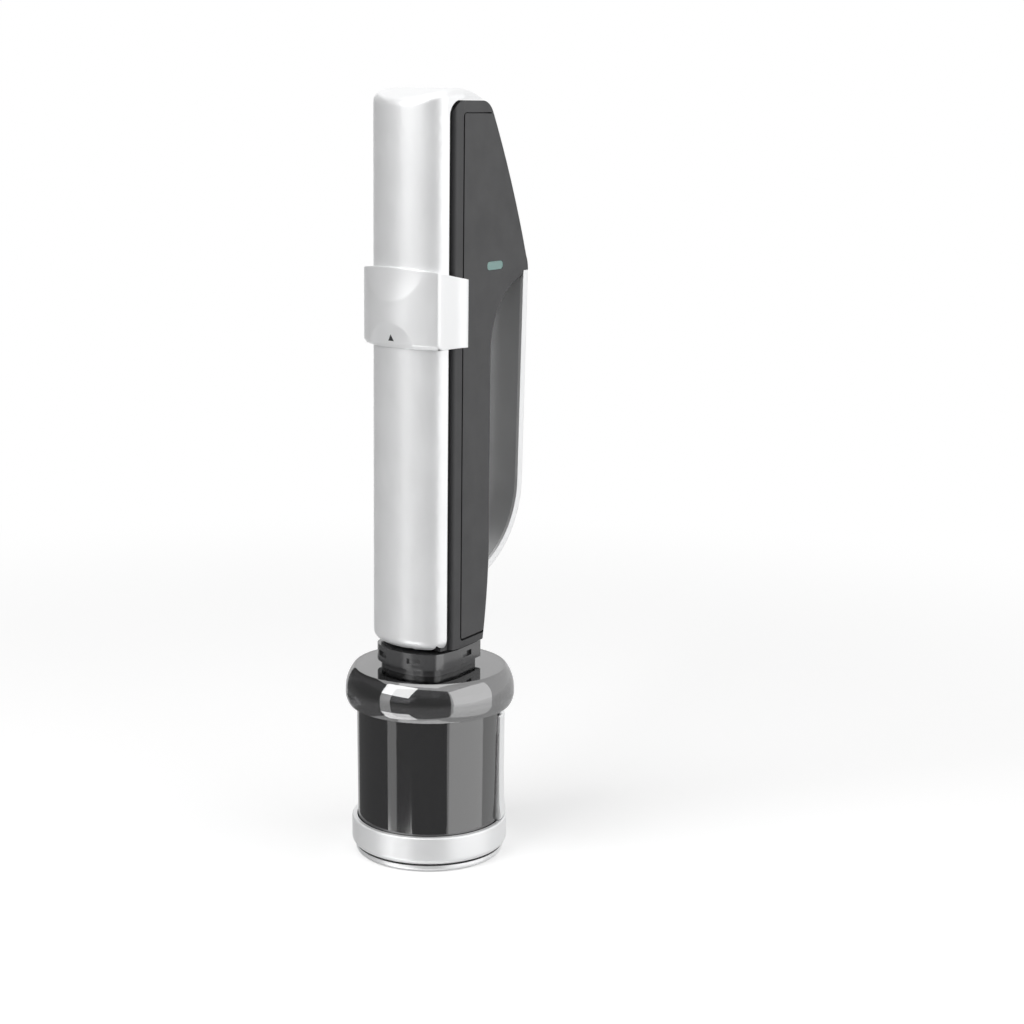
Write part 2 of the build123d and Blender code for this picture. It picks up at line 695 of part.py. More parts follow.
def clamp_jaw(index):
    """One jaw: grips under the bottle's collar and rides the clamp's cone."""
    back = CORE_R + 0.4 - MOVING_GAP
    grip = NECK_BORE_R - JAW_BITE
    jaw = turned(
        (grip + 1.2, JAW_Z),
        (back, JAW_Z),
        (back + ramp() * JAW_H, JAW_Z + JAW_H),
        (grip + 0.8, JAW_Z + JAW_H),
        (grip, JAW_Z + JAW_H - 1.5),
        (grip, JAW_Z + 2),
    )
    jaw &= block(0, FAR, -JAW_HALF_WIDTH, JAW_HALF_WIDTH, 0, FAR)
    return Rot(0, 0, jaw_angle(index)) * jaw


# ---------------------------------------------------------------- bell and neck
def bell():
    """Smoked skirt that drops over the stopper: flat top, bulging shoulder, mouth."""
    mid = (BELL_TOP_Z + BELL_MOUTH_Z) / 2 - 2.5
    outer = Polyline((BELL_HOLE_R, BELL_TOP_Z), (BELL_RIM_R - 0.6, BELL_TOP_Z))
    outer += Line((BELL_RIM_R - 0.6, BELL_TOP_Z), (BELL_RIM_R, BELL_TOP_Z - 0.5))
    outer += ThreePointArc(
        (BELL_RIM_R, BELL_TOP_Z - 0.5),
        (BELL_BULGE_R - 0.5, mid + 4.5),
        (BELL_BULGE_R, mid),
    )
    outer += ThreePointArc(
        (BELL_BULGE_R, mid),
        (BELL_BULGE_R - 0.3, mid - 3.4),
        (BELL_MOUTH_R, BELL_MOUTH_Z),
    )
    wall = BELL_WALL
    under = BELL_TOP_Z - BELL_TOP_T
    inner = Line((BELL_MOUTH_R, BELL_MOUTH_Z), (BELL_MOUTH_R - wall, BELL_MOUTH_Z))
    inner += ThreePointArc(
        (BELL_MOUTH_R - wall, BELL_MOUTH_Z),
        (BELL_BULGE_R - wall - 0.3, mid - 3.0),
        (BELL_BULGE_R - wall, mid),
    )
    inner += ThreePointArc(
        (BELL_BULGE_R - wall, mid),
        (BELL_BULGE_R - wall - 0.6, mid + 4.0),
        (BELL_RIM_R - wall, under),
    )
    inner += Polyline((BELL_RIM_R - wall, under), (BELL_HOLE_R, under), (BELL_HOLE_R, BELL_TOP_Z))
    skirt = revolve(Plane.XZ * make_face(outer + inner), Axis.Z)
    return skirt - neck_screw_spaces(under - 1)


def bell_seal():
    """Face seal round the nozzle, pressed on the valve body's top."""
    under = BELL_TOP_Z - BELL_TOP_T
    return tube(VALVE_R, NOZZLE_R + MOVING_GAP, VALVE_TOP_Z + SEAT_GAP, under)


def body_plan(inset, front_inset=0.0):
    """Plan of the charger at its foot: cover's curve in front, tapered box behind."""
    back = BACK_FOOT_Y - inset
    x0 = COVER_HALF_WIDTH - inset
    oval = Pos(0, COVER_RIM_Y) * Ellipse(x0, COVER_BULGE - inset - front_inset)
    rear = half_width(back) - inset
    box = Polyline(
        (-x0, COVER_RIM_Y),
        (-x0, TAPER_FROM_Y),
        (-rear, back),
        (rear, back),
        (x0, TAPER_FROM_Y),
        (x0, COVER_RIM_Y),
        close=True,
    )
    half = Pos(0, COVER_RIM_Y - FAR / 2) * Rectangle(FAR * 2, FAR)
    return make_face(box) + (oval & half)


def neck_collar():
    """Gloss collar between bell and body, waisted at its foot and slotted."""
    waist_z = BELL_TOP_Z + NECK_WAIST_H
    collar = from_top(body_plan(NECK_INSET), waist_z, NECK_TOP_Z)
    waist = from_top(body_plan(NECK_INSET + NECK_WAIST_INSET), BELL_TOP_Z, waist_z)
    collar += waist
    hollow = body_plan(NECK_INSET + NECK_WAIST_INSET + NECK_WALL)
    collar -= from_top(hollow, BELL_TOP_Z + 2, NECK_TOP_Z - 2)
    collar -= tube(GUIDE_R + SEAT_GAP, 0, BELL_TOP_Z - 1, NECK_TOP_Z + 1)
    collar -= neck_slots()
    collar += neck_posts() - tube(GUIDE_R + SEAT_GAP, 0, 0, FAR * 3)
    return collar - neck_screw_spaces(BELL_TOP_Z - 1)


def neck_slots():
    """Shallow level slots in the collar's face: two in front, one on each side."""
    low = NECK_TOP_Z - NECK_SLOT_DROP
    high = low + NECK_SLOT_H
    skin = body_plan(NECK_INSET) - body_plan(NECK_INSET + NECK_SLOT_DEPTH)
    spaces = block(6, 12, -FAR, -12, low, high) + block(12, FAR, 2, 9, low, high)
    spaces += mirror(spaces, Plane.YZ)
    return spaces & from_top(skin, low, high)


NECK_SCREW_X = 11.0
NECK_SCREW_YS = (-7.0, 9.5)
NECK_SCREW_R = 1.3


def neck_posts():
    """Four posts inside the collar that the screws pass through."""
    posts = Part()
    for x in (-NECK_SCREW_X, NECK_SCREW_X):
        for y in NECK_SCREW_YS:
            posts += tube(NECK_SCREW_R + 1.6, 0, BELL_TOP_Z, NECK_TOP_Z, x, y)
    return posts


def neck_screw_spaces(low):
    """Holes for the four screws that join bell, collar and body."""
    holes = Part()
    for x in (-NECK_SCREW_X, NECK_SCREW_X):
        for y in NECK_SCREW_YS:
            holes += tube(NECK_SCREW_R + SEAT_GAP, 0, low, BODY_Z + 1.7, x, y)
    return holes


def neck_screws():
    """Four screws from under the bell's top into the body's floor."""
    under = BELL_TOP_Z - BELL_TOP_T
    screws = []
    for x in (-NECK_SCREW_X, NECK_SCREW_X):
        for y in NECK_SCREW_YS:
            screw = tube(NECK_SCREW_R, 0, under - 0.1, BODY_Z + 1.6, x, y)
            screw += tube(NECK_SCREW_R * 2, 0, under - 1.7, under, x, y)
            screw -= block(x - 3, x + 3, y - 0.35, y + 0.35, under - 2, under - 1.2)
            screws.append(screw)
    return Part() + screws


def nozzle_guide():
    """Bright sleeve that the nozzle slides in, pressed into the collar."""
    guide = tube(GUIDE_R, NOZZLE_R + RUNNING_FIT, BELL_TOP_Z, REG_Z)
    return guide


def nozzle():
    """Sprung charging nozzle, from the regulator down into the stopper's port."""
    tip_z = SEAT_RING_Z + SEAT_RING_T + 0.5
    top = nozzle_top_z()
    body = turned(
        (NOZZLE_BORE_R, tip_z),
        (NOZZLE_R - 1.2, tip_z),
        (NOZZLE_R, tip_z + 1.4),
        (NOZZLE_R, REG_Z),
        (NOZZLE_FLANGE_R, REG_Z),
        (NOZZLE_FLANGE_R, REG_Z + NOZZLE_FLANGE_T),
        (NOZZLE_R - 0.6, REG_Z + NOZZLE_FLANGE_T),
        (NOZZLE_R - 0.6, top),
        (NOZZLE_BORE_R, top),
    )
    return body - nozzle_groove()


def nozzle_top_z():
    """Top of the nozzle at rest."""
    return REG_Z + NOZZLE_FLANGE_T + 0.5


def nozzle_groove():
    """Groove for the nozzle's O-ring, inside the port."""
    z = VALVE_TOP_Z - 5
    return tube(NOZZLE_R + 1, NOZZLE_R - 0.9, z - 0.8, z + 0.8)


def nozzle_oring():
    """O-ring that seals the nozzle in the port."""
    section = Plane.XZ * Pos(NOZZLE_R - 0.35, VALVE_TOP_Z - 5) * RegularPolygon(0.55, 8)
    return revolve(section, Axis.Z)


def nozzle_spring():
    """Spring that pushes the nozzle down out of the regulator."""
    low = REG_Z + NOZZLE_FLANGE_T
    return spring(5.4, 0.5, low, REG_Z + REG_CHAMBER_H, 3)


# ---------------------------------------------------------------- regulator, capsule
def regulator_body():
    """Turned regulator housing: nozzle chamber, shelf, piston chamber, nose."""
    shelf_z = REG_Z + REG_CHAMBER_H
    upper_z = shelf_z + REG_SHELF_T
    top = REG_Z + REG_H
    body = turned(
        (REG_CHAMBER_R, REG_Z),
        (REG_R, REG_Z),
        (REG_R, REG_Z + 7),
        (REG_R - 0.8, REG_Z + 7.8),
        (REG_R - 0.8, REG_Z + 9.2),
        (REG_R, REG_Z + 10),
        (REG_R, top - 1),
        (REG_R - 1, top),
        (REG_NOSE_R, top),
        (REG_NOSE_R, top + REG_NOSE_H),
        (NEEDLE_R, top + REG_NOSE_H),
        (NEEDLE_R, upper_z + REG_UPPER_H),
        (REG_CHAMBER_R, upper_z + REG_UPPER_H),
        (REG_CHAMBER_R, upper_z),
        (REG_SHELF_HOLE_R, upper_z),
        (REG_SHELF_HOLE_R, shelf_z),
        (REG_CHAMBER_R, shelf_z),
    )
    port = rod_y(TUBE_R + SEAT_GAP, REG_R - 3, REG_R + 1, 0, gas_port_z())
    return body - port - needle_seat()


def gas_port_z():
    """Height of the regulator's side port for the gas tube."""
    return REG_Z + GAS_PORT_RISE


def needle_seat():
    """Counterbore in the nose for the needle's foot."""
    top = REG_Z + REG_H + REG_NOSE_H
    return tube(2.6 + SEAT_GAP, 0, top - 2.5, top + 1)


def regulator_piston():
    """Piston that the nozzle lifts to let gas through."""
    low = REG_Z + REG_CHAMBER_H + REG_SHELF_T + 0.2
    head = tube(REG_CHAMBER_R - RUNNING_FIT, 0, low, low + PISTON_T)
    head -= tube(REG_CHAMBER_R, REG_CHAMBER_R - 0.7, low + 1, low + 2)
    foot = nozzle_top_z() + NOZZLE_TRAVEL - PISTON_TRAVEL + SEAT_GAP
    return head + tube(PISTON_STEM_R, 0, foot, low + 0.1)


def regulator_spring():
    """Spring that holds the regulator's piston on its shelf."""
    upper_z = REG_Z + REG_CHAMBER_H + REG_SHELF_T
    return spring(5.4, 0.6, upper_z + 0.2 + PISTON_T, upper_z + REG_UPPER_H, 3)


def capsule_socket():
    """Screwed socket that the capsule's neck stands in."""
    floor = SOCKET_Z + SOCKET_FLOOR
    return turned(
        (2.6 + SEAT_GAP, SOCKET_Z),
        (SOCKET_R, SOCKET_Z),
        (SOCKET_R, SOCKET_Z + SOCKET_H - 1),
        (SOCKET_R - 1, SOCKET_Z + SOCKET_H),
        (CAPSULE_NECK_R + 1.5, SOCKET_Z + SOCKET_H),
        (CAPSULE_NECK_R + MOVING_GAP, SOCKET_Z + SOCKET_H - 1.2),
        (CAPSULE_NECK_R + MOVING_GAP, floor),
        (2.6 + SEAT_GAP, floor),
    )


def capsule_seal():
    """Soft washer under the capsule's neck."""
    floor = SOCKET_Z + SOCKET_FLOOR
    return tube(CAPSULE_NECK_R + MOVING_GAP - SEAT_GAP, NEEDLE_R + MOVING_GAP, floor, floor + 1.8)


def piercing_needle():
    """Hollow needle with a broad foot seated in the regulator's nose."""
    low = REG_Z + REG_H + REG_NOSE_H - 2.5
    tip = CAPSULE_Z + NEEDLE_REACH
    return turned(
        (0.3, low),
        (2.6, low),
        (2.6, SOCKET_Z + SOCKET_FLOOR),
        (NEEDLE_R, SOCKET_Z + SOCKET_FLOOR),
        (NEEDLE_R, tip - 1.6),
        (0.5, tip),
        (0.3, tip),
    )


def gas_capsule():
    """Steel carbon dioxide capsule, standing neck down."""
    neck_top = CAPSULE_Z + CAPSULE_NECK_L
    side_z = neck_top + sqrt(CAPSULE_R**2 - CAPSULE_NECK_R**2)
    dome_z = CAPSULE_TOP_Z - CAPSULE_R
    turn = atan2(side_z - neck_top, CAPSULE_NECK_R) / 2
    outline = Polyline(
        (NEEDLE_R + MOVING_GAP, CAPSULE_Z),
        (CAPSULE_NECK_R, CAPSULE_Z),
        (CAPSULE_NECK_R, neck_top),
    )
    outline += ThreePointArc(
        (CAPSULE_NECK_R, neck_top),
        (CAPSULE_R * cos(turn), side_z - CAPSULE_R * sin(turn)),
        (CAPSULE_R, side_z),
    )
    outline += Line((CAPSULE_R, side_z), (CAPSULE_R, dome_z))
    outline += ThreePointArc(
        (CAPSULE_R, dome_z),
        (CAPSULE_R * cos(radians(45)), dome_z + CAPSULE_R * sin(radians(45))),
        (0, CAPSULE_TOP_Z),
    )
    outline += Polyline(
        (0, CAPSULE_TOP_Z),
        (0, CAPSULE_Z + NEEDLE_REACH + 1.5),
        (NEEDLE_R + MOVING_GAP, CAPSULE_Z + NEEDLE_REACH + 1.5),
        (NEEDLE_R + MOVING_GAP, CAPSULE_Z),
    )
    return revolve(Plane.XZ * make_face(outline), Axis.Z)


def capsule_cup():
    """Cup over the capsule's end, with the peg that the clasp's slider drives."""
    inner = CAPSULE_R + SEAT_GAP * 2
    outer = inner + CUP_WALL
    lid = CUP_LID_Z
    cup = tube(outer, inner, lid - CUP_DEPTH, lid + 0.1) + tube(outer, 0, lid, lid + CUP_LID)
    cup = fillet(cup.edges().group_by(Axis.Z)[-1], 1.0)
    cup += tube(CUP_STEM_R, 0, lid + CUP_LID - 0.1, PEG_Z + 0.1)
    peg_front = slider_back_y() - SLIDER_T + 1.2
    peg = block(-PEG_HALF_WIDTH, PEG_HALF_WIDTH, peg_front, CUP_STEM_R, PEG_Z, PEG_Z + PEG_H)
    return cup + peg


def gas_tube():
    """Thin tube from the regulator's side port up the back of the bay."""
    low = gas_port_z()
    high = flag_room_z() - 0.2
    bend = 3.0
    path = FilletPolyline((0, REG_R - 2.8, low), (0, TUBE_Y, low), (0, TUBE_Y, high), radius=bend)
    section = Plane(origin=path @ 0, z_dir=path % 0) * Circle(TUBE_R)
    return sweep(section, path=path)


# ---------------------------------------------------------------- charger body
def flag_room_z():
    """Floor of the indicator's pocket in the chassis."""
    return WINDOW_Z - FLAG_H / 2 - CYLINDER_H - 0.5


def side_outline():
    """Side view of the dark body: straight back, arch, knee, sloping crown."""
    foot = BODY_Z
    crown_z = BODY_TOP_Z - CROWN_DROP
    crown_end = CROWN_Y - CROWN_BACK
    inner_y = BOW_TOP_Y - BOW_T
    chin = CHIN_R * (1 - sqrt(0.5))
    line = ThreePointArc(
        (BODY_FRONT_Y + CHIN_R, BODY_TOP_Z),
        (BODY_FRONT_Y + chin, BODY_TOP_Z - chin),
        (BODY_FRONT_Y, BODY_TOP_Z - CHIN_R),
    )
    line += Polyline(
        (BODY_FRONT_Y, BODY_TOP_Z - CHIN_R),
        (BODY_FRONT_Y, foot),
        (BACK_FOOT_Y - FOOT_CHAMFER, foot),
        (BACK_FOOT_Y, foot + FOOT_CHAMFER),
    )
    line += ThreePointArc(
        (BACK_FOOT_Y, foot + FOOT_CHAMFER),
        (BACK_Y - 0.2 * (BACK_Y - BACK_FOOT_Y), foot + 0.45 * BACK_CURVE_H),
        (BACK_Y, foot + BACK_CURVE_H),
    )
    line += Line((BACK_Y, foot + BACK_CURVE_H), (BACK_Y, ARCH_FOOT_Z))
    line += ThreePointArc(
        (BACK_Y, ARCH_FOOT_Z),
        (BACK_Y + (inner_y - BACK_Y) * 0.3, ARCH_FOOT_Z + ARCH_H * 0.64),
        (inner_y, ARCH_TIP_Z),
    )
    line += Polyline((inner_y, ARCH_TIP_Z), (inner_y, BOW_TOP_Z), (BOW_TOP_Y, BOW_TOP_Z))
    line += ThreePointArc(
        (BOW_TOP_Y, BOW_TOP_Z),
        ((BOW_TOP_Y + KNEE_Y) / 2 + 0.4, (BOW_TOP_Z + KNEE_Z) / 2 + 0.2),
        (KNEE_Y, KNEE_Z),
    )
    line += ThreePointArc(
        (KNEE_Y, KNEE_Z),
        ((KNEE_Y + CROWN_Y) / 2 + SLOPE_BULGE * 0.9, (KNEE_Z + crown_z) / 2 + SLOPE_BULGE * 0.4),
        (CROWN_Y, crown_z),
    )
    line += TangentArc((crown_end, BODY_TOP_Z), (CROWN_Y, crown_z), tangent=(1, 0))
    line += Line((crown_end, BODY_TOP_Z), (BODY_FRONT_Y + CHIN_R, BODY_TOP_Z))
    return make_face(line)


def plan_outline(inset=0.0, front=BODY_FRONT_Y, rounding=0.0):
    """Plan of the dark body: parallel in front, tapered towards the handle."""
    rear = FAR
    face = make_face(
        Polyline(
            (-half_width(front, inset), front),
            (-half_width(TAPER_FROM_Y, inset), TAPER_FROM_Y),
            (-half_width(rear, inset), rear),
            (half_width(rear, inset), rear),
            (half_width(TAPER_FROM_Y, inset), TAPER_FROM_Y),
            (half_width(front, inset), front),
            close=True,
        )
    )
    if rounding:
        corners = face.vertices().group_by(Axis.Y)[0]
        face = fillet(corners, rounding)
    return face


def panel_region(front, foot, head, rounding):
    """Side view of the area that a side panel covers."""
    height = BODY_H - foot - head
    area = Pos(front + FAR / 2, BODY_Z + foot + height / 2) * Rectangle(FAR, height)
    corners = area.vertices().group_by(Axis.X)[0]
    return fillet(corners, rounding)


def body_blank():
    """The dark body and its side panels as one form, rounded along back and arch."""
    plan = from_top(plan_outline(rounding=BODY_EDGE_ROUND), BODY_Z, BODY_TOP_Z)
    blank = from_side(side_outline(), FAR) & plan
    rear = blank.edges().filter_by(lambda edge: is_rear_edge(edge))
    return fillet(rear, REAR_ROUND)


def is_rear_edge(edge):
    """True for the long edges of the straight back and of the arch."""
    spot = edge @ 0.5
    on_side = abs(abs(spot.X) - half_width(spot.Y)) < 0.01
    on_height = BODY_Z + 2 * FOOT_CHAMFER < spot.Z < ARCH_TIP_Z - 1
    return on_side and on_height and BACK_FOOT_Y < spot.Y < BOW_TOP_Y - BOW_T - 1


def chassis():
    """Dark structural moulding: rim, bay walls, fin, hinge lugs, panel recesses."""
    low, high = BODY_Z, BODY_TOP_Z
    body = body_blank()
    skin = from_top(plan_outline(front=-FAR), low, high)
    skin -= from_top(plan_outline(PANEL_T, front=-FAR), low - 1, high + 1)
    recess = panel_region(TAPER_FROM_Y, PANEL_FOOT - GROOVE_W, PANEL_HEAD - GROOVE_TOP_W, PANEL_ROUND)
    body -= skin & from_side(recess & offset(side_outline(), -PANEL_MARGIN), FAR)
    step = block(-STEP_HALF_WIDTH, STEP_HALF_WIDTH, STEP_Y, BODY_FRONT_Y + 1, low, high)
    step -= rod_x(HINGE_RELIEF_R, -FAR, FAR, HINGE_Y, HINGE_Z)
    body += step
    bay = BAY_HALF_WIDTH
    body -= tube(bay, 0, BAY_Z, BAY_TOP_Z)
    body -= block(-bay, bay, -FAR, 0, BAY_Z, BAY_TOP_Z)
    reg = REG_R + SEAT_GAP
    body -= tube(reg, 0, REG_Z, BAY_Z + 1)
    body -= block(-reg, reg, -FAR, 0, REG_Z, BAY_Z + 1)
    body -= tube(GUIDE_R + SEAT_GAP, 0, BODY_Z - 1, REG_Z + 1)
    slot = TUBE_R + 0.3
    body -= block(-slot, slot, 0, TUBE_Y + slot, gas_port_z() - slot, flag_room_z() + 1)
    body -= indicator_room()
    body -= fin_rooms()
    body -= bow_sockets()
    body -= panel_screw_spaces()
    body += hinge_lugs()
    body += from_top(body_plan(NECK_INSET + 3.0), NECK_TOP_Z, BODY_Z + 0.1) & block(
        -FAR, FAR, BODY_FRONT_Y, FAR, NECK_TOP_Z, BODY_Z + 1
    ) - tube(GUIDE_R + SEAT_GAP, 0, NECK_TOP_Z - 1, BODY_Z + 2)
    return body - neck_screw_spaces(NECK_TOP_Z - 1)


def indicator_room():
    """Pocket through the fin for the flag, its cylinder and its spring."""
    y0 = WINDOW_Y - FLAG_FRONT_L - MOVING_GAP
    y1 = WINDOW_Y + FLAG_REAR_L + MOVING_GAP
    low = WINDOW_Z - FLAG_H / 2 - MOVING_GAP
    top = WINDOW_Z + FLAG_H / 2 + FLAG_ROOM_TOP
    front = TUBE_Y - TUBE_R - MOVING_GAP
    rear = FLAG_ROD_Y + CYLINDER_R + MOVING_GAP
    pit = block(-FAR, FAR, front, rear, flag_room_z(), low + 1)
    return pit + block(-FAR, FAR, y0, y1, low, top)


def fin_rooms():
    """Two weight-saving pockets through the fin, which the side panels close."""
    base = WINDOW_Z + FLAG_H / 2 + FLAG_ROOM_TOP + 3
    middle = base + 22.0
    top = BODY_TOP_Z - 12.0
    lower = Polyline((4, base), (30, base), (24, middle), (4, middle), close=True)
    upper = Polyline((4, middle + 3), (20, middle + 3), (13, top), (4, top), close=True)
    return from_side(make_face(lower), FAR) + from_side(make_face(upper), FAR)


def hinge_lugs():
    """Two lugs that reach forward from the floor to the cover's hinge pin."""
    knuckle = Pos(HINGE_Y, HINGE_Z) * Circle(HINGE_KNUCKLE_R)
    floor = REG_Z - 0.1
    arm = make_face(
        Polyline(
            (HINGE_Y + 1.5, HINGE_Z - 2.5),
            (STEP_Y + 0.9, BODY_Z),
            (BODY_FRONT_Y - 0.2, BODY_Z),
            (BODY_FRONT_Y - 0.2, floor),
            (STEP_Y + 1.0, floor),
            (HINGE_Y + 2.7, HINGE_Z + 0.8),
            close=True,
        )
    )
    lugs = Part()
    for side in (-1, 1):
        near, far = sorted((side * LUG_INNER_X, side * (LUG_INNER_X + LUG_T)))
        middle = (near + far) / 2
        lugs += Pos(middle, 0, 0) * from_side(knuckle + arm, LUG_T / 2)
    return lugs - rod_x(HINGE_PIN_R + RUNNING_FIT, -FAR, FAR, HINGE_Y, HINGE_Z)


def side_panel(side):
    """Flat tapered panel on one side, with the window for the indicator."""
    low, high = BODY_Z, BODY_TOP_Z
    skin = from_top(plan_outline(front=-FAR), low, high)
    skin -= from_top(plan_outline(PANEL_T, front=-FAR), low - 1, high + 1)
    front = TAPER_FROM_Y + GROOVE_W
    region = panel_region(front, PANEL_FOOT, PANEL_HEAD, PANEL_ROUND - GROOVE_W)
    region &= offset(side_outline(), -PANEL_MARGIN)
    panel = skin & from_side(region, FAR) & body_blank()
    x0, x1 = sorted((0.0, side * FAR))
    panel &= block(x0, x1, -FAR, FAR, low, high)
    return panel - window_space(0.0) - panel_screw_spaces()


def window_space(gap):
    """The pill-shaped hole for the lenses, less a gap all round."""
    pill = Pos(WINDOW_Y, WINDOW_Z) * SlotOverall(WINDOW_L - 2 * gap, WINDOW_H - 2 * gap)
    return from_side(pill, FAR)


def indicator_lens(side):
    """Clear pill-shaped lens, flush in the side panel."""
    low, high = BODY_Z, BODY_TOP_Z
    skin = from_top(plan_outline(0.1, front=-FAR), low, high)
    skin -= from_top(plan_outline(PANEL_T - 0.2, front=-FAR), low - 1, high + 1)
    x0, x1 = sorted((0.0, side * FAR))
    return skin & window_space(SEAT_GAP) & block(x0, x1, -FAR, FAR, low, high)


PANEL_SCREW_RISE = 14.0
PANEL_SCREW_PITCH = 78.0
PANEL_SCREW_Y = 2.0
PANEL_SCREW_ZS = (BAY_Z + PANEL_SCREW_RISE, BAY_Z + PANEL_SCREW_RISE + PANEL_SCREW_PITCH)
PANEL_SCREW_R = 1.1


def panel_screw_spaces():
    """Holes through the bay's walls for the screws into both panels."""
    holes = Part()
    for z in PANEL_SCREW_ZS:
        reach = half_width(PANEL_SCREW_Y) - 0.7
        holes += rod_x(PANEL_SCREW_R + SEAT_GAP, -reach, reach, PANEL_SCREW_Y, z)
        holes += rod_x(PANEL_SCREW_R * 2, -BAY_HALF_WIDTH - 1.2, BAY_HALF_WIDTH + 1.2, PANEL_SCREW_Y, z)
    return holes


def panel_screws():
    """Countersunk screws from inside the bay into the side panels."""
    screws = []
    for z in PANEL_SCREW_ZS:
        for side in (-1, 1):
            head = side * (BAY_HALF_WIDTH + 0.1)
            seat = side * (BAY_HALF_WIDTH + 1.2)
            tip = side * (half_width(PANEL_SCREW_Y) - 0.8)
            screw = rod_x(PANEL_SCREW_R, *sorted((seat, tip)), PANEL_SCREW_Y, z)
            screw += rod_x(PANEL_SCREW_R * 2 - SEAT_GAP, *sorted((head, seat)), PANEL_SCREW_Y, z)
            screws.append(screw)
    return Part() + screws


# ---------------------------------------------------------------- handle bow
def bow_region(outer_inset, inner_inset, top, end_angle):
    """Side view of the bow's band, between two insets from its back face."""
    outer = BOW_Y - outer_inset
    inner = BOW_Y - inner_inset
    lean = BOW_LEAN * (top - BOW_BEND_Z) / (BOW_TOP_Z - BOW_BEND_Z)
    centre_y = BOW_Y - BOW_BEND_R
    turn = radians(end_angle)

    def on_bend(y, angle):
        radius = y - centre_y
        return (centre_y + radius * cos(angle), BOW_BEND_Z - radius * sin(angle))

    line = Line((outer + lean, top), (outer, BOW_BEND_Z))
    line += ThreePointArc((outer, BOW_BEND_Z), on_bend(outer, turn / 2), on_bend(outer, turn))
    line += Line(on_bend(outer, turn), on_bend(inner, turn))
    line += ThreePointArc(on_bend(inner, turn), on_bend(inner, turn / 2), (inner, BOW_BEND_Z))
    line += Polyline((inner, BOW_BEND_Z), (inner + lean, top), (outer + lean, top))
    return make_face(line)


BOW_END_ANGLE = 68.0
TONGUE_END_ANGLE = 69.5


def handle_bow():
    """Bright bow that closes the D-shaped handle, channelled for its dark liner."""
    top = BOW_TOP_Z
    region = bow_region(0, BOW_T, top, BOW_END_ANGLE)
    bow = from_side(region, BOW_HALF_WIDTH)
    back = bow.edges().filter_by(lambda edge: is_back_edge(edge))
    bow = fillet(back, BOW_EDGE)
    bow -= from_side(side_outline(), FAR)
    pocket = bow_region(BOW_T - LINER_T, BOW_T + 1, top + 1, BOW_END_ANGLE + 1)
    bow -= from_side(pocket, BOW_HALF_WIDTH - LINER_INSET)
    half = TONGUE_HALF_WIDTH
    tongue = from_side(bow_region(TONGUE_INSET, BOW_T - TONGUE_INSET, top, TONGUE_END_ANGLE), half)
    lower = tongue & from_side(side_outline(), FAR) & block(-FAR, FAR, -FAR, BACK_Y, 0, ARCH_FOOT_Z)
    inner_y = BOW_TOP_Y - BOW_T
    upper = block(-half, half, inner_y - 7, inner_y + 1, top - 1.2, top + 0.9)
    upper += block(-half, half, inner_y, BOW_TOP_Y - 1.2, top - 2, top + 0.9)
    return bow + lower + upper


def is_back_edge(edge):
    """True for the bow's two long outer edges, which are rounded."""
    spot = edge @ 0.5
    rise = (spot.Z - BOW_BEND_Z) / (BOW_TOP_Z - BOW_BEND_Z)
    straight = rise > 0 and abs(spot.Y - BOW_Y - BOW_LEAN * rise) < 0.01
    off_bend = hypot(spot.Y - BOW_Y + BOW_BEND_R, spot.Z - BOW_BEND_Z) - BOW_BEND_R
    along = abs(abs(spot.X) - BOW_HALF_WIDTH) < 0.01
    return along and (straight or abs(off_bend) < 0.01)


def bow_sockets():
    """Slots in the chassis for the bow's two tongues."""
    top = BOW_TOP_Z
    gap = SEAT_GAP
    half = TONGUE_HALF_WIDTH + gap
    inset = TONGUE_INSET - gap
    region = bow_region(inset, BOW_T - inset, top, TONGUE_END_ANGLE + 0.3)
    lower = from_side(region, half) & block(-FAR, FAR, -FAR, BACK_Y + 3, 0, ARCH_FOOT_Z)
    inner_y = BOW_TOP_Y - BOW_T
    upper = block(-half, half, inner_y - 7.1, BOW_TOP_Y - 1.1, top - 1.3, top + 1.0)
    return lower + upper


def bow_liner():
    """Dark liner on the inside of the bow, where the fingers lie."""
    top = BOW_TOP_Z - 2.2
    region = bow_region(BOW_T - LINER_T, BOW_T, top, BOW_END_ANGLE)
    liner = from_side(region, BOW_HALF_WIDTH - LINER_INSET - SEAT_GAP)
    return liner - from_side(side_outline(), FAR)


# ---------------------------------------------------------------- indicator
def indicator_cylinder():
    """Small gas cylinder under the flag."""
    low = flag_room_z()
    high = low + CYLINDER_H
    body = tube(CYLINDER_R, 0, low, high, 0, FLAG_ROD_Y)
    foot = block(-CYLINDER_R, CYLINDER_R, TUBE_Y - TUBE_R, FLAG_ROD_Y, low, low + 2.5)
    rod_hole = tube(FLAG_ROD_R + RUNNING_FIT, 0, low + 3, high + 1, 0, FLAG_ROD_Y)
    return body + foot - rod_hole


def indicator_flag():
    """Two-sided flag on a rod, lifted by gas pressure behind the windows."""
    y0, y1 = WINDOW_Y - FLAG_FRONT_L, WINDOW_Y + FLAG_REAR_L
    low = WINDOW_Z - FLAG_H / 2
    high = low + FLAG_H
    inset = PANEL_T + 2 * MOVING_GAP
    depth = block(-FAR, FAR, y0, y1, low, high)
    flag = from_top(plan_outline(inset), low, high) & depth
    flag -= from_top(plan_outline(inset + FLAG_T), low + 3, high + 1)
    rod = tube(FLAG_ROD_R, 0, low - CYLINDER_H + 4, low + 0.1, 0, FLAG_ROD_Y)
    return flag + rod


def indicator_spring():
    """Spring that brings the flag back down."""
    low = WINDOW_Z - FLAG_H / 2 + 3
    top = WINDOW_Z + FLAG_H / 2 + FLAG_ROOM_TOP
    return Pos(0, FLAG_ROD_Y, 0) * spring(2.6, 0.4, low, top, 4)


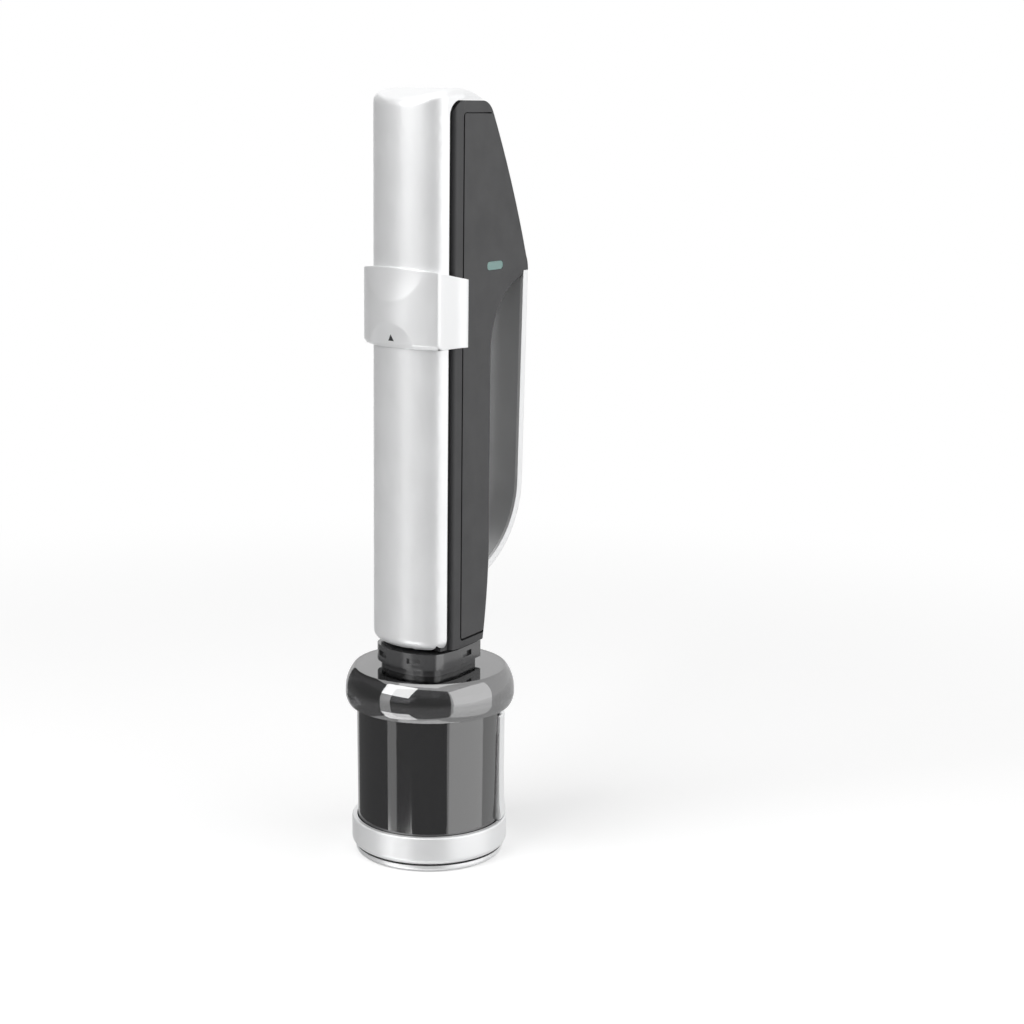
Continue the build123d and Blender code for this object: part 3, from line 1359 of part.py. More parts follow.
# ---------------------------------------------------------------- front cover
def half_oval(inset):
    """Plan of the cover's curve, in front of its rim."""
    oval = Pos(0, COVER_RIM_Y) * Ellipse(COVER_HALF_WIDTH - inset, COVER_BULGE - inset)
    return oval & Pos(0, COVER_RIM_Y - FAR / 2) * Rectangle(FAR * 2, FAR)


def front_cover():
    """Bright shell: convex front, crown over the body's top, open at the hinge."""
    lid_z = BODY_TOP_Z + MOVING_GAP
    crown_z = BODY_TOP_Z + COVER_CROWN
    front = from_top(half_oval(0), COVER_Z, crown_z + 1)
    over = COVER_HALF_WIDTH - BODY_HALF_WIDTH
    front_y = COVER_RIM_Y - COVER_BULGE - 1
    rear_y = COVER_LID_REAR_Y
    rear = half_width(rear_y) + over
    lid_plan = make_face(
        Polyline(
            (-COVER_HALF_WIDTH, COVER_RIM_Y),
            (-COVER_HALF_WIDTH, TAPER_FROM_Y),
            (-rear, rear_y),
            (rear, rear_y),
            (COVER_HALF_WIDTH, TAPER_FROM_Y),
            (COVER_HALF_WIDTH, COVER_RIM_Y),
            close=True,
        )
    )
    blank = front + from_top(lid_plan, lid_z, crown_z + 1)
    crown = ThreePointArc(
        (front_y, crown_z - COVER_CROWN_FRONT_FALL),
        (COVER_CROWN_Y, crown_z),
        (rear_y + 1, crown_z - COVER_CROWN_FALL),
    )
    crown += Polyline(
        (rear_y + 1, crown_z - COVER_CROWN_FALL),
        (rear_y + 1, COVER_Z - 1),
        (front_y, COVER_Z - 1),
        (front_y, crown_z - COVER_CROWN_FRONT_FALL),
    )
    blank &= from_side(make_face(crown), FAR)
    rim = blank.faces().sort_by(Axis.Z)[-1].edges()
    rim = rim.filter_by(lambda edge: (edge @ 0.5).Y < rear_y - 0.5)
    blank = fillet(rim, COVER_EDGE_ROUND)
    foot_edge = blank.edges().group_by(Axis.Z)[0].filter_by(GeomType.ELLIPSE)
    blank = fillet(foot_edge, COVER_FOOT_ROUND)
    cavity = from_top(half_oval(COVER_WALL), COVER_Z + COVER_WALL, lid_z)
    sill = cavity.edges().group_by(Axis.Z)[0].filter_by(GeomType.ELLIPSE)
    cavity = fillet(sill, COVER_FOOT_ROUND - COVER_WALL)
    blank -= cavity
    inner_x = COVER_HALF_WIDTH - COVER_WALL
    foot_top = COVER_Z + COVER_FOOT_ROUND
    blank -= block(-inner_x, inner_x, COVER_SILL_Y, COVER_RIM_Y + 1, COVER_Z - 1, foot_top)
    lug_x = LUG_INNER_X + LUG_T + MOVING_GAP
    blank -= block(-lug_x, lug_x, HINGE_Y - 3.2, COVER_SILL_Y + 1, COVER_Z - 1, foot_top)
    return blank + cover_corners() - clasp_slot()


def cover_corners():
    """Rounded inner corners, where the cover's side edges turn into the lid's."""
    centre_y = COVER_RIM_Y + COVER_CORNER_R
    lid_z = BODY_TOP_Z + MOVING_GAP
    centre_z = lid_z - COVER_CORNER_R
    inner_x = COVER_HALF_WIDTH - COVER_WALL
    web = block(inner_x, COVER_HALF_WIDTH, COVER_RIM_Y - 1, centre_y, centre_z, lid_z + 0.5)
    web -= rod_x(COVER_CORNER_R, -FAR, FAR, centre_y, centre_z)
    return web + mirror(web, Plane.YZ)


def clasp_slot():
    """Slot in the cover that the slider's stud runs in."""
    half = STUD_HALF_WIDTH + MOVING_GAP
    low = CLASP_Z + STUD_RISE - MOVING_GAP
    high = CLASP_Z + STUD_RISE + STUD_H + CLASP_TRAVEL + MOVING_GAP
    return block(-half, half, -FAR, COVER_RIM_Y - 5, low, high)


def cover_liner():
    """Dark liner inside the cover: hinge knuckle, and rails for the slider."""
    low = HINGE_Z + HINGE_KNUCKLE_R + 1
    high = BODY_TOP_Z - 6
    shell = half_oval(COVER_WALL + SEAT_GAP) - half_oval(COVER_WALL + 1.6)
    liner = from_top(shell, low, high)
    liner &= block(-FAR, FAR, -FAR, STEP_Y - MOVING_GAP * 2, low, high)
    half = SLIDER_HALF_WIDTH + MOVING_GAP
    slider_low = CLASP_Z - SLIDER_FOOT - 2
    slider_high = CLASP_Z - SLIDER_FOOT + SLIDER_H + CLASP_TRAVEL + 2
    liner -= block(-half, half, -FAR, 0, slider_low, slider_high)
    for side in (-1, 1):
        x0, x1 = sorted((side * half, side * (half + 2)))
        rail = block(x0, x1, -FAR, -17, slider_low, slider_high)
        liner += rail & from_top(half_oval(COVER_WALL + SEAT_GAP), slider_low, slider_high)
    knuckle_x = LUG_INNER_X - MOVING_GAP
    front_y = COVER_RIM_Y - COVER_BULGE + COVER_WALL + 1.0
    knuckle = rod_x(HINGE_KNUCKLE_R, -knuckle_x, knuckle_x, HINGE_Y, HINGE_Z)
    knuckle += block(-knuckle_x, knuckle_x, front_y, HINGE_Y, HINGE_Z - 2, low + 2)
    liner += knuckle & from_top(half_oval(COVER_WALL + SEAT_GAP), 0, BODY_TOP_Z)
    return liner - rod_x(HINGE_PIN_R + RUNNING_FIT, -FAR, FAR, HINGE_Y, HINGE_Z)


def cover_hinge_pin():
    """Pin through the lugs and the cover's knuckle."""
    half = LUG_INNER_X + LUG_T
    return rod_x(HINGE_PIN_R, -half, half, HINGE_Y, HINGE_Z)


def slider_back_y():
    """Front plane of the slider, just inside the cover's wall."""
    x = SLIDER_HALF_WIDTH / (COVER_HALF_WIDTH - COVER_WALL)
    sag = (COVER_BULGE - COVER_WALL) * sqrt(1 - x * x)
    return COVER_RIM_Y - sag + MOVING_GAP + SLIDER_T


def clasp():
    """Bright band that slides on the cover: dished front, square corners, flanges."""
    low, high = CLASP_Z, CLASP_Z + CLASP_H
    side_x = COVER_HALF_WIDTH + CLASP_SIDE
    bend_x, bend_y = CLASP_BEND_X, CLASP_BEND_Y
    bevel_y = CLASP_FLANGE_Y - CLASP_REAR_L
    rear_x = side_x - CLASP_REAR_T
    line = ThreePointArc((-bend_x, bend_y), (0, CLASP_FRONT_Y), (bend_x, bend_y))
    line += Polyline(
        (bend_x, bend_y),
        (side_x, CLASP_CORNER_Y),
        (side_x, bevel_y),
        (rear_x, CLASP_FLANGE_Y),
        (-rear_x, CLASP_FLANGE_Y),
        (-side_x, bevel_y),
        (-side_x, CLASP_CORNER_Y),
        (-bend_x, bend_y),
    )
    band = from_top(make_face(line), low, high)
    band &= from_side(clasp_side_outline(low, high), FAR)
    band -= rod_x(DISH_R, -FAR, FAR, CLASP_FRONT_Y + DISH_DEPTH - DISH_R, high)
    band -= rod_x(THUMB_R, -FAR, FAR, CLASP_FRONT_Y + THUMB_DEPTH - THUMB_R, low + THUMB_RISE)
    gap = MOVING_GAP + 0.1
    inner_x = COVER_HALF_WIDTH + gap
    inside = from_top(half_oval(-gap), low - 1, high + 1)
    inside += block(-inner_x, inner_x, COVER_RIM_Y, FAR, low - 1, high + 1)
    return band - inside - clasp_screw_space()


def clasp_side_outline(low, high):
    """Side view of the clasp: its top edge slopes, its rear lower corner is round."""
    rear_high = high - CLASP_SLOPE * (CLASP_FLANGE_Y - CLASP_FRONT_Y)
    round_y = CLASP_FLANGE_Y - CLASP_REAR_ROUND
    round_z = low + CLASP_REAR_ROUND
    bulge = CLASP_REAR_ROUND * sqrt(0.5)
    line = ThreePointArc(
        (round_y, low), (round_y + bulge, round_z - bulge), (CLASP_FLANGE_Y, round_z)
    )
    line += Polyline(
        (CLASP_FLANGE_Y, round_z),
        (CLASP_FLANGE_Y, rear_high),
        (CLASP_FRONT_Y, high),
        (CLASP_FRONT_Y, low),
        (round_y, low),
    )
    return make_face(line)


def clasp_slider():
    """Slider inside the cover, with the stud that the clasp is screwed to."""
    back = slider_back_y()
    low = CLASP_Z - SLIDER_FOOT
    half = SLIDER_HALF_WIDTH
    slider = block(-half, half, back - SLIDER_T, back, low, low + SLIDER_H)
    stud_front = COVER_RIM_Y - COVER_BULGE - MOVING_GAP - 0.05
    stud_z = CLASP_Z + STUD_RISE
    stud_half = STUD_HALF_WIDTH
    stud = block(-stud_half, stud_half, stud_front, back, stud_z, stud_z + STUD_H)
    stud &= from_top(half_oval(-MOVING_GAP - 0.05), low, low + SLIDER_H)
    slot_low = PEG_Z - CLASP_TRAVEL + CUP_LIFT - MOVING_GAP
    peg_half = PEG_HALF_WIDTH + MOVING_GAP
    slot = block(-peg_half, peg_half, -FAR, 0, slot_low, PEG_Z + PEG_H + MOVING_GAP)
    return slider - slot + stud - clasp_screw_space()


def clasp_screw_space():
    """Hole for the screw that joins slider and clasp."""
    z = CLASP_Z + STUD_RISE + STUD_H / 2
    return rod_y(0.9 + SEAT_GAP, CLASP_FRONT_Y + 2.1, 0, 0, z)


def clasp_screw():
    """Screw from inside the slider into the clasp."""
    z = CLASP_Z + STUD_RISE + STUD_H / 2
    back = slider_back_y()
    return rod_y(0.9, CLASP_FRONT_Y + 2.2, back + 0.1, 0, z) + rod_y(1.9, back, back + 1.0, 0, z)


# ---------------------------------------------------------------- write the nodes
def stopper_nodes():
    """Every node of the stopper, still with its lever on +X."""
    nodes = {
        "foot_ring": foot_ring(),
        "base_screws": base_screws(),
        "ring_gasket": ring_gasket(),
        "base_ring": base_ring(),
        "stopper_shell": stopper_shell(),
        "inner_core": inner_core(),
        "top_cap": top_cap(),
        "cap_screws": cap_screws(),
        "bottle_seal": bottle_seal(),
        "valve_body": valve_body(),
        "valve_poppet": valve_poppet(),
        "valve_seat": valve_seat(),
        "valve_spring": valve_spring(),
        "lever_leaf": lever_leaf(),
        "lever_keeper": lever_keeper(),
        "lever_pin": lever_pin(),
        "lever": lever(),
        "clamp_ring": clamp_ring(),
    }
    for index in range(JAW_COUNT):
        nodes[f"clamp_jaw_{index + 1}"] = clamp_jaw(index)
    return {name: Rot(0, 0, STOPPER_TURN) * shape for name, shape in nodes.items()}


def charger_nodes():
    """Every node of the charger."""
    return {
        "bell": bell(),
        "bell_seal": bell_seal(),
        "neck_collar": neck_collar(),
        "neck_screws": neck_screws(),
        "nozzle_guide": nozzle_guide(),
        "nozzle": nozzle(),
        "nozzle_oring": nozzle_oring(),
        "nozzle_spring": nozzle_spring(),
        "regulator_body": regulator_body(),
        "regulator_piston": regulator_piston(),
        "regulator_spring": regulator_spring(),
        "capsule_socket": capsule_socket(),
        "capsule_seal": capsule_seal(),
        "piercing_needle": piercing_needle(),
        "gas_capsule": gas_capsule(),
        "capsule_cup": capsule_cup(),
        "gas_tube": gas_tube(),
        "chassis": chassis(),
        "right_side_panel": side_panel(1),
        "left_side_panel": side_panel(-1),
        "panel_screws": panel_screws(),
        "right_window": indicator_lens(1),
        "left_window": indicator_lens(-1),
        "indicator_cylinder": indicator_cylinder(),
        "indicator_flag": indicator_flag(),
        "indicator_spring": indicator_spring(),
        "handle_bow": handle_bow(),
        "bow_liner": bow_liner(),
        "front_cover": front_cover(),
        "cover_liner": cover_liner(),
        "cover_hinge_pin": cover_hinge_pin(),
        "clasp": clasp(),
        "clasp_slider": clasp_slider(),
        "clasp_screw": clasp_screw(),
    }


os.makedirs("parts", exist_ok=True)
for node, shape in {**stopper_nodes(), **charger_nodes()}.items():
    export_step(shape, f"parts/{node}.step")
    print(node, len(shape.solids()), round(shape.volume, 1))
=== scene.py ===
# %% [markdown]
# A handheld gas charger on its bottle stopper, dressed for a still life. The solids
# of the part come in first. They are the frame: each of them keeps its place and its
# joints, and the pieces made below are fitted to them, in metres, with +Z up and the
# bright front cover towards -Y.

# %% Load the frame
import json
import math

import bmesh
import bpy
from mathutils import Matrix, Vector

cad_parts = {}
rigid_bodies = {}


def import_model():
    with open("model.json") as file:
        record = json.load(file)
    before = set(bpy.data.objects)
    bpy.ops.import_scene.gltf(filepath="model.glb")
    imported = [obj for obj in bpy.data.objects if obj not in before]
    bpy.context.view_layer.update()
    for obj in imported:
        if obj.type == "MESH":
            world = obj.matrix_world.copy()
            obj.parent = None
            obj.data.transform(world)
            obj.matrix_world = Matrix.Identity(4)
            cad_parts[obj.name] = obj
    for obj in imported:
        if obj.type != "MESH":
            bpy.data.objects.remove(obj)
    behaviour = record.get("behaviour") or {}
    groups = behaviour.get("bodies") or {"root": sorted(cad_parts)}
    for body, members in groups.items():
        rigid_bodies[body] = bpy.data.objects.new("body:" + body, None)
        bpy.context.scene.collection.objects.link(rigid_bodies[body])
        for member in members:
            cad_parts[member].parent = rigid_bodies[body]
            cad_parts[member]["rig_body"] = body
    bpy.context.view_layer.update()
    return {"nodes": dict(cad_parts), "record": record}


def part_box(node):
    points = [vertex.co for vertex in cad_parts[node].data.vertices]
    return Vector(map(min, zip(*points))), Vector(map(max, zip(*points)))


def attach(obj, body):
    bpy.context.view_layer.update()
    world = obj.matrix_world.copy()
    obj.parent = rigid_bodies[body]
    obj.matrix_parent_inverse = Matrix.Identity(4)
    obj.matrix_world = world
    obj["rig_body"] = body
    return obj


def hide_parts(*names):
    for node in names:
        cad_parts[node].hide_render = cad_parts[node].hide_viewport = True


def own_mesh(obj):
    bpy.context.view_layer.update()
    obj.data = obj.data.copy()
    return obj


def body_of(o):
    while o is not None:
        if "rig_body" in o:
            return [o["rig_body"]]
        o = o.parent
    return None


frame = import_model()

MM = 0.001

nodes = frame["nodes"]
scene = bpy.context.scene

# %% [markdown]
# The camera stands a little above the middle of the object and looks slightly down
# on it, from the side where the cover and the charcoal flank both show. A tracking
# constraint could aim it. Here the body stands off the centre of the frame and leans a
# little, so the aim is built up from a pitch, a yaw past the object and a slight roll.

# %% Camera
CAMERA_AZIMUTH = math.radians(43.0)
CAMERA_DISTANCE = 0.852
CAMERA_HEIGHT = 0.3251
CAMERA_PITCH = math.radians(11.5)
CAMERA_YAW = math.radians(2.35)
CAMERA_ROLL = math.radians(0.72)
FOCAL_LENGTH = 71.0
NEAR_CLIP = 0.01

to_object = Vector((-math.sin(CAMERA_AZIMUTH), math.cos(CAMERA_AZIMUTH), 0))
rightwards = Vector((to_object.y, -to_object.x, 0))
ahead = to_object * math.cos(CAMERA_YAW) + rightwards * math.sin(CAMERA_YAW)
sight = ahead * math.cos(CAMERA_PITCH) - Vector((0, 0, math.sin(CAMERA_PITCH)))
aim = sight.to_track_quat("-Z", "Y").to_matrix() @ Matrix.Rotation(CAMERA_ROLL, 3, "Z")
stand = Vector((0, 0, CAMERA_HEIGHT)) - to_object * CAMERA_DISTANCE
camera = bpy.data.objects.new("camera", bpy.data.cameras.new("camera"))
camera.data.lens = FOCAL_LENGTH
camera.data.clip_start = NEAR_CLIP
camera.matrix_world = Matrix.Translation(stand) @ aim.to_4x4()
scene.collection.objects.link(camera)
scene.camera = camera
scene.view_settings.view_transform = "Standard"
print("camera at", [round(v, 3) for v in stand])

# %% [markdown]
# A studio for metal is mostly what the metal sees. A picture of a real studio could be
# wrapped round the object; a plain world is steadier, because its brightness is one
# number. A camera ray, a mirrored ray and a ray through glass all meet white. The soft
# light that falls on the object from all round is only a mid grey, so that the lamps
# still draw its form. The Light Path node tells these kinds of ray apart.

# %% World
WORLD_GREY = 0.42

def grey(value):
    """A neutral colour, from 0 for black to 1 for white, with its alpha."""
    return (value, value, value, 1)

def either(tree, first, second):
    """A signal that is 1 where at least one of two signals is 1."""
    larger = tree.nodes.new("ShaderNodeMath")
    larger.operation = "MAXIMUM"
    tree.links.new(first, larger.inputs[0])
    tree.links.new(second, larger.inputs[1])
    return larger.outputs[0]

world = bpy.data.worlds.new("studio")
scene.world = world
world.use_nodes = True
tree = world.node_tree
tree.nodes.clear()
room = tree.nodes.new("ShaderNodeBackground")
room.inputs["Color"].default_value = grey(WORLD_GREY)
white = tree.nodes.new("ShaderNodeBackground")
white.inputs["Color"].default_value = grey(1)
ray = tree.nodes.new("ShaderNodeLightPath").outputs
mirrored_or_through = either(tree, ray["Is Glossy Ray"], ray["Is Transmission Ray"])
meets_white = either(tree, ray["Is Camera Ray"], mirrored_or_through)
choose = tree.nodes.new("ShaderNodeMixShader")
end = tree.nodes.new("ShaderNodeOutputWorld")
tree.links.new(meets_white, choose.inputs["Fac"])
tree.links.new(room.outputs[0], choose.inputs[1])
tree.links.new(white.outputs[0], choose.inputs[2])
tree.links.new(choose.outputs[0], end.inputs["Surface"])
print("world grey", WORLD_GREY)

# %% [markdown]
# Three large, even soft boxes draw the long highlights: one left of the cover, a broader
# one along the flank, and one overhead. A few point lamps could light the object as
# well, but they leave small hard glints on satin metal, where a wide area lamp leaves a
# soft band. A lamp's power spreads over its area, so it is worked out from how bright
# the lamp itself should look.

# %% Soft boxes
BODY_MIDDLE = Vector((0, 0.005, 0.17))
SOFT_BOXES = {  # bearing and elevation in degrees, distance, width, height, brightness
    "left_box": (-6, 31, 1.2, 0.9, 0.75, 3.2),
    "flank_box": (104, 8, 1.2, 1.4, 1.3, 0.93),
    "overhead_box": (20, 78, 1.3, 1.2, 1.2, 1.05),
}

def soft_box(name, bearing, elevation, distance, width, height, brightness):
    """An area lamp aimed at the middle of the body; brightness 1 looks white."""
    a, e = math.radians(bearing), math.radians(elevation)
    away = Vector((math.sin(a) * math.cos(e), -math.cos(a) * math.cos(e), math.sin(e)))
    lamp = bpy.data.lights.new(name, "AREA")
    lamp.shape = "RECTANGLE"
    lamp.size, lamp.size_y = width, height
    lamp.energy = brightness * math.pi * width * height
    holder = bpy.data.objects.new(name, lamp)
    holder.location = BODY_MIDDLE + away * distance
    holder.rotation_euler = (-away).to_track_quat("-Z", "Y").to_euler()
    scene.collection.objects.link(holder)

for name, setting in SOFT_BOXES.items():
    soft_box(name, *setting)
print("lamps", list(SOFT_BOXES))

# %% [markdown]
# The floor only has to hold a soft shadow. It could be a shadow catcher, but that leaves
# a see-through background. Here a camera ray, or a ray through glass, meets a pale matt
# card with some white added, so that only the shadow is left of it, and further out the
# card melts into the white background. Every other ray meets a pale polished card,
# because the added white would light the object from below and turn its gloss black grey.

# %% Floor card
FLOOR_HALF = 3.0

def new_mesh_object(name, shape):
    """Turn a bmesh into an object in the scene, with its place kept in the mesh."""
    made = bpy.data.meshes.new(name)
    shape.to_mesh(made)
    shape.free()
    thing = bpy.data.objects.new(name, made)
    scene.collection.objects.link(thing)
    return thing

sheet = bmesh.new()
bmesh.ops.create_grid(sheet, x_segments=1, y_segments=1, size=FLOOR_HALF)
floor = new_mesh_object("floor", sheet)
print("floor", FLOOR_HALF * 2, "m wide")

# %% Floor finish
MATT_GREY, LIFT_GREY = 0.86, 0.34
FADE_START, FADE_END = 0.25, 0.75
POLISHED_GREY, POLISHED_ROUGHNESS, POLISHED_METAL = 0.75, 0.06, 0.8

pale_floor = bpy.data.materials.new("pale_floor")
pale_floor.use_nodes = True
tree = pale_floor.node_tree
tree.nodes.clear()
link = tree.links.new

matt = tree.nodes.new("ShaderNodeBsdfDiffuse")
matt.inputs["Color"].default_value = grey(MATT_GREY)
lift = tree.nodes.new("ShaderNodeEmission")
lift.inputs["Color"].default_value = grey(LIFT_GREY)
lifted = tree.nodes.new("ShaderNodeAddShader")
link(matt.outputs[0], lifted.inputs[0])
link(lift.outputs[0], lifted.inputs[1])

place = tree.nodes.new("ShaderNodeTexCoord")
reach = tree.nodes.new("ShaderNodeVectorMath")
reach.operation = "LENGTH"
fade = tree.nodes.new("ShaderNodeMapRange")
fade.interpolation_type = "SMOOTHSTEP"
fade.inputs["From Min"].default_value = FADE_START
fade.inputs["From Max"].default_value = FADE_END
plain_white = tree.nodes.new("ShaderNodeEmission")
melt = tree.nodes.new("ShaderNodeMixShader")
link(place.outputs["Object"], reach.inputs[0])
link(reach.outputs["Value"], fade.inputs["Value"])
link(fade.outputs["Result"], melt.inputs["Fac"])
link(lifted.outputs[0], melt.inputs[1])
link(plain_white.outputs[0], melt.inputs[2])

polished = tree.nodes.new("ShaderNodeBsdfPrincipled")
polished.inputs["Base Color"].default_value = grey(POLISHED_GREY)
polished.inputs["Roughness"].default_value = POLISHED_ROUGHNESS
polished.inputs["Metallic"].default_value = POLISHED_METAL
ray = tree.nodes.new("ShaderNodeLightPath").outputs
choose = tree.nodes.new("ShaderNodeMixShader")
end = tree.nodes.new("ShaderNodeOutputMaterial")
link(either(tree, ray["Is Camera Ray"], ray["Is Transmission Ray"]), choose.inputs["Fac"])
link(polished.outputs[0], choose.inputs[1])
link(melt.outputs[0], choose.inputs[2])
link(choose.outputs[0], end.inputs["Surface"])
floor.data.materials.append(pale_floor)
print("floor fades to white between", FADE_START, "and", FADE_END, "m")

# %% [markdown]
# Gloss black only looks deep if part of what it mirrors is dark, so a studio stands black
# cards beside its lamps. A dark patch in the world would serve too, but a card has a size
# and a place that can be moved. One stands behind the camera and one to its left. Camera
# rays and shadow rays pass through both, so they never stand in the view and take no
# light from the lamps.

# %% Dark cards
CARD_DISTANCE, CARD_WIDTH, CARD_HEIGHT = 1.5, 2.6, 1.6
CARD_GREY = 0.12
CARD_BEARINGS = {"card_behind_camera": 30, "card_at_left": -68}
UNIT_HALF = 0.5
UPRIGHT = Matrix.Rotation(math.pi / 2, 3, "X")

card_finish = bpy.data.materials.new("dark_card")
card_finish.use_nodes = True
tree = card_finish.node_tree
tree.nodes.clear()
glow = tree.nodes.new("ShaderNodeEmission")
glow.inputs["Color"].default_value = grey(CARD_GREY)
end = tree.nodes.new("ShaderNodeOutputMaterial")
tree.links.new(glow.outputs[0], end.inputs["Surface"])

def dark_card(name, bearing):
    """An upright dark card that faces the object and is never in the view."""
    sheet = bmesh.new()
    bmesh.ops.create_grid(sheet, x_segments=1, y_segments=1, size=UNIT_HALF)
    corners = sheet.verts[:]
    turn = Matrix.Rotation(math.radians(bearing), 3, "Z")
    bmesh.ops.scale(sheet, verts=corners, vec=(CARD_WIDTH, CARD_HEIGHT, 1))
    bmesh.ops.rotate(sheet, verts=corners, matrix=UPRIGHT)
    bmesh.ops.translate(sheet, verts=corners, vec=(0, -CARD_DISTANCE, CARD_HEIGHT / 2))
    bmesh.ops.rotate(sheet, verts=corners, matrix=turn)
    card = new_mesh_object(name, sheet)
    card.data.materials.append(card_finish)
    card.visible_camera = False
    card.visible_shadow = False

for name, bearing in CARD_BEARINGS.items():
    dark_card(name, bearing)
print("dark cards", list(CARD_BEARINGS))

# %% [markdown]
# Every finish is a small node tree. One flat value each for colour and roughness would
# do for a sketch, but no real surface is so even. Here the base colour drifts a little
# with a broad noise, the roughness drifts with another, and a fine noise lifts the
# surface by a few micrometres: bead blasting on the aluminium, moulded grain on the
# plastic. The noises read Object coordinates, so the grain has its real size and stays
# on the piece when a joint moves it.

# %% Finish maker
COLOUR_SCALE, COLOUR_DETAIL = 45, 3  # waves to the metre, and octaves
ROUGHNESS_SCALE, ROUGHNESS_DETAIL = 90, 4
GRAIN_DETAIL, GRAIN_DEPTH = 2, 0.02 * MM
NOISE_LOW, NOISE_HIGH = 0.3, 0.7  # most of a noise lies between these

def finish(name, colour, roughness, metal=0.0, grain=1500, relief=0.2,
           drift=0.04, wander=0.06, **extra):
    """A finish whose colour drifts and roughness wanders, with a fine grain if relief."""
    made = bpy.data.materials.new(name)
    made.use_nodes = True
    tree = made.node_tree
    shader = tree.nodes["Principled BSDF"]
    shader.inputs["Metallic"].default_value = metal
    for socket, value in extra.items():
        shader.inputs[socket.replace("_", " ")].default_value = value
    place = tree.nodes.new("ShaderNodeTexCoord")

    def noise(scale, detail):
        node = tree.nodes.new("ShaderNodeTexNoise")
        node.inputs["Scale"].default_value = scale
        node.inputs["Detail"].default_value = detail
        tree.links.new(place.outputs["Object"], node.inputs["Vector"])
        return node.outputs["Fac"]

    blend = tree.nodes.new("ShaderNodeMix")
    blend.data_type = "RGBA"
    blend.inputs["A"].default_value = (*[c * (1 - drift) for c in colour], 1)
    blend.inputs["B"].default_value = (*[min(1, c * (1 + drift)) for c in colour], 1)
    tree.links.new(noise(COLOUR_SCALE, COLOUR_DETAIL), blend.inputs["Factor"])
    tree.links.new(blend.outputs["Result"], shader.inputs["Base Color"])

    spread = tree.nodes.new("ShaderNodeMapRange")
    spread.inputs["From Min"].default_value = NOISE_LOW
    spread.inputs["From Max"].default_value = NOISE_HIGH
    spread.inputs["To Min"].default_value = max(0.0, roughness - wander)
    spread.inputs["To Max"].default_value = roughness + wander
    tree.links.new(noise(ROUGHNESS_SCALE, ROUGHNESS_DETAIL), spread.inputs["Value"])
    tree.links.new(spread.outputs["Result"], shader.inputs["Roughness"])

    if relief:
        raised = tree.nodes.new("ShaderNodeBump")
        raised.inputs["Strength"].default_value = relief
        raised.inputs["Distance"].default_value = GRAIN_DEPTH
        tree.links.new(noise(grain, GRAIN_DETAIL), raised.inputs["Height"])
        tree.links.new(raised.outputs["Normal"], shader.inputs["Normal"])
    return made

# %% Finishes
FINISHES = {  # slot: name, colour, roughness, and how metallic it is
    "satin_silver": finish(
        "satin_aluminium", (0.945, 0.95, 0.955), 0.42, 0.48,
        grain=4000, relief=0.08, drift=0.02, wander=0.03,
    ),
    "bright_steel": finish(
        "fine_satin_steel", (0.97, 0.975, 0.98), 0.34, 0.55,
        grain=3000, relief=0.1, drift=0.02,
    ),
    "charcoal": finish(
        "charcoal_plastic", (0.049, 0.049, 0.051), 0.48, grain=5000, relief=0.3,
    ),
    "dark_liner": finish("grey_satin_metal", (0.62, 0.625, 0.63), 0.35, 0.35, relief=0),
    "gloss_black": finish(
        "gloss_black_plastic", (0.005, 0.005, 0.006), 0.05,
        relief=0, wander=0.02, IOR=2.3,
    ),
    "smoked_gloss": finish(
        "smoked_gloss_plastic", (0.06, 0.06, 0.062), 0.18,
        relief=0, wander=0.02, IOR=2.0,
    ),
    "smoked_clear": finish(
        "smoked_polycarbonate", (0.10, 0.10, 0.105), 0.03,
        relief=0, wander=0.01, IOR=2.9, Transmission_Weight=1.0,
    ),
    "window_clear": finish(
        "window_lens", (0.42, 0.66, 0.62), 0.12,
        relief=0, wander=0.01, IOR=1.45, Transmission_Weight=0.45,
    ),
    "flag_mint": finish("flag_mint", (0.38, 0.52, 0.53), 0.4),
    "black_plastic": finish("black_plastic", (0.03, 0.03, 0.032), 0.4),
    "soft_seal": finish("dark_silicone", (0.02, 0.02, 0.021), 0.6),
    "steel": finish("drawn_steel", (0.55, 0.56, 0.57), 0.3, 1.0),
    "machined_metal": finish("turned_metal", (0.62, 0.60, 0.56), 0.3, 1.0),
    "capsule_steel": finish("plated_capsule", (0.66, 0.67, 0.68), 0.28, 1.0),
}
print("finishes", len(FINISHES))

# %% [markdown]
# A solid comes in as loose triangles. They could be cleaned up in the mesh itself, but
# the part's own surface has to stay as it is, so modifiers finish it in five steps. A
# node group merges the triangles. A planar decimate joins the flat ones, a fine bevel
# breaks every hard edge as a mould or a deburring wheel would, and a second node group
# shades the piece smooth except across the edges that are still sharp. Last, weighted
# normals keep the large flat faces even. Pieces that hardly show get the first step alone.

# %% Modifier groups
WELD_DISTANCE = 0.002 * MM
WELD_ANGLE, SMOOTH_ANGLE = 28, 35

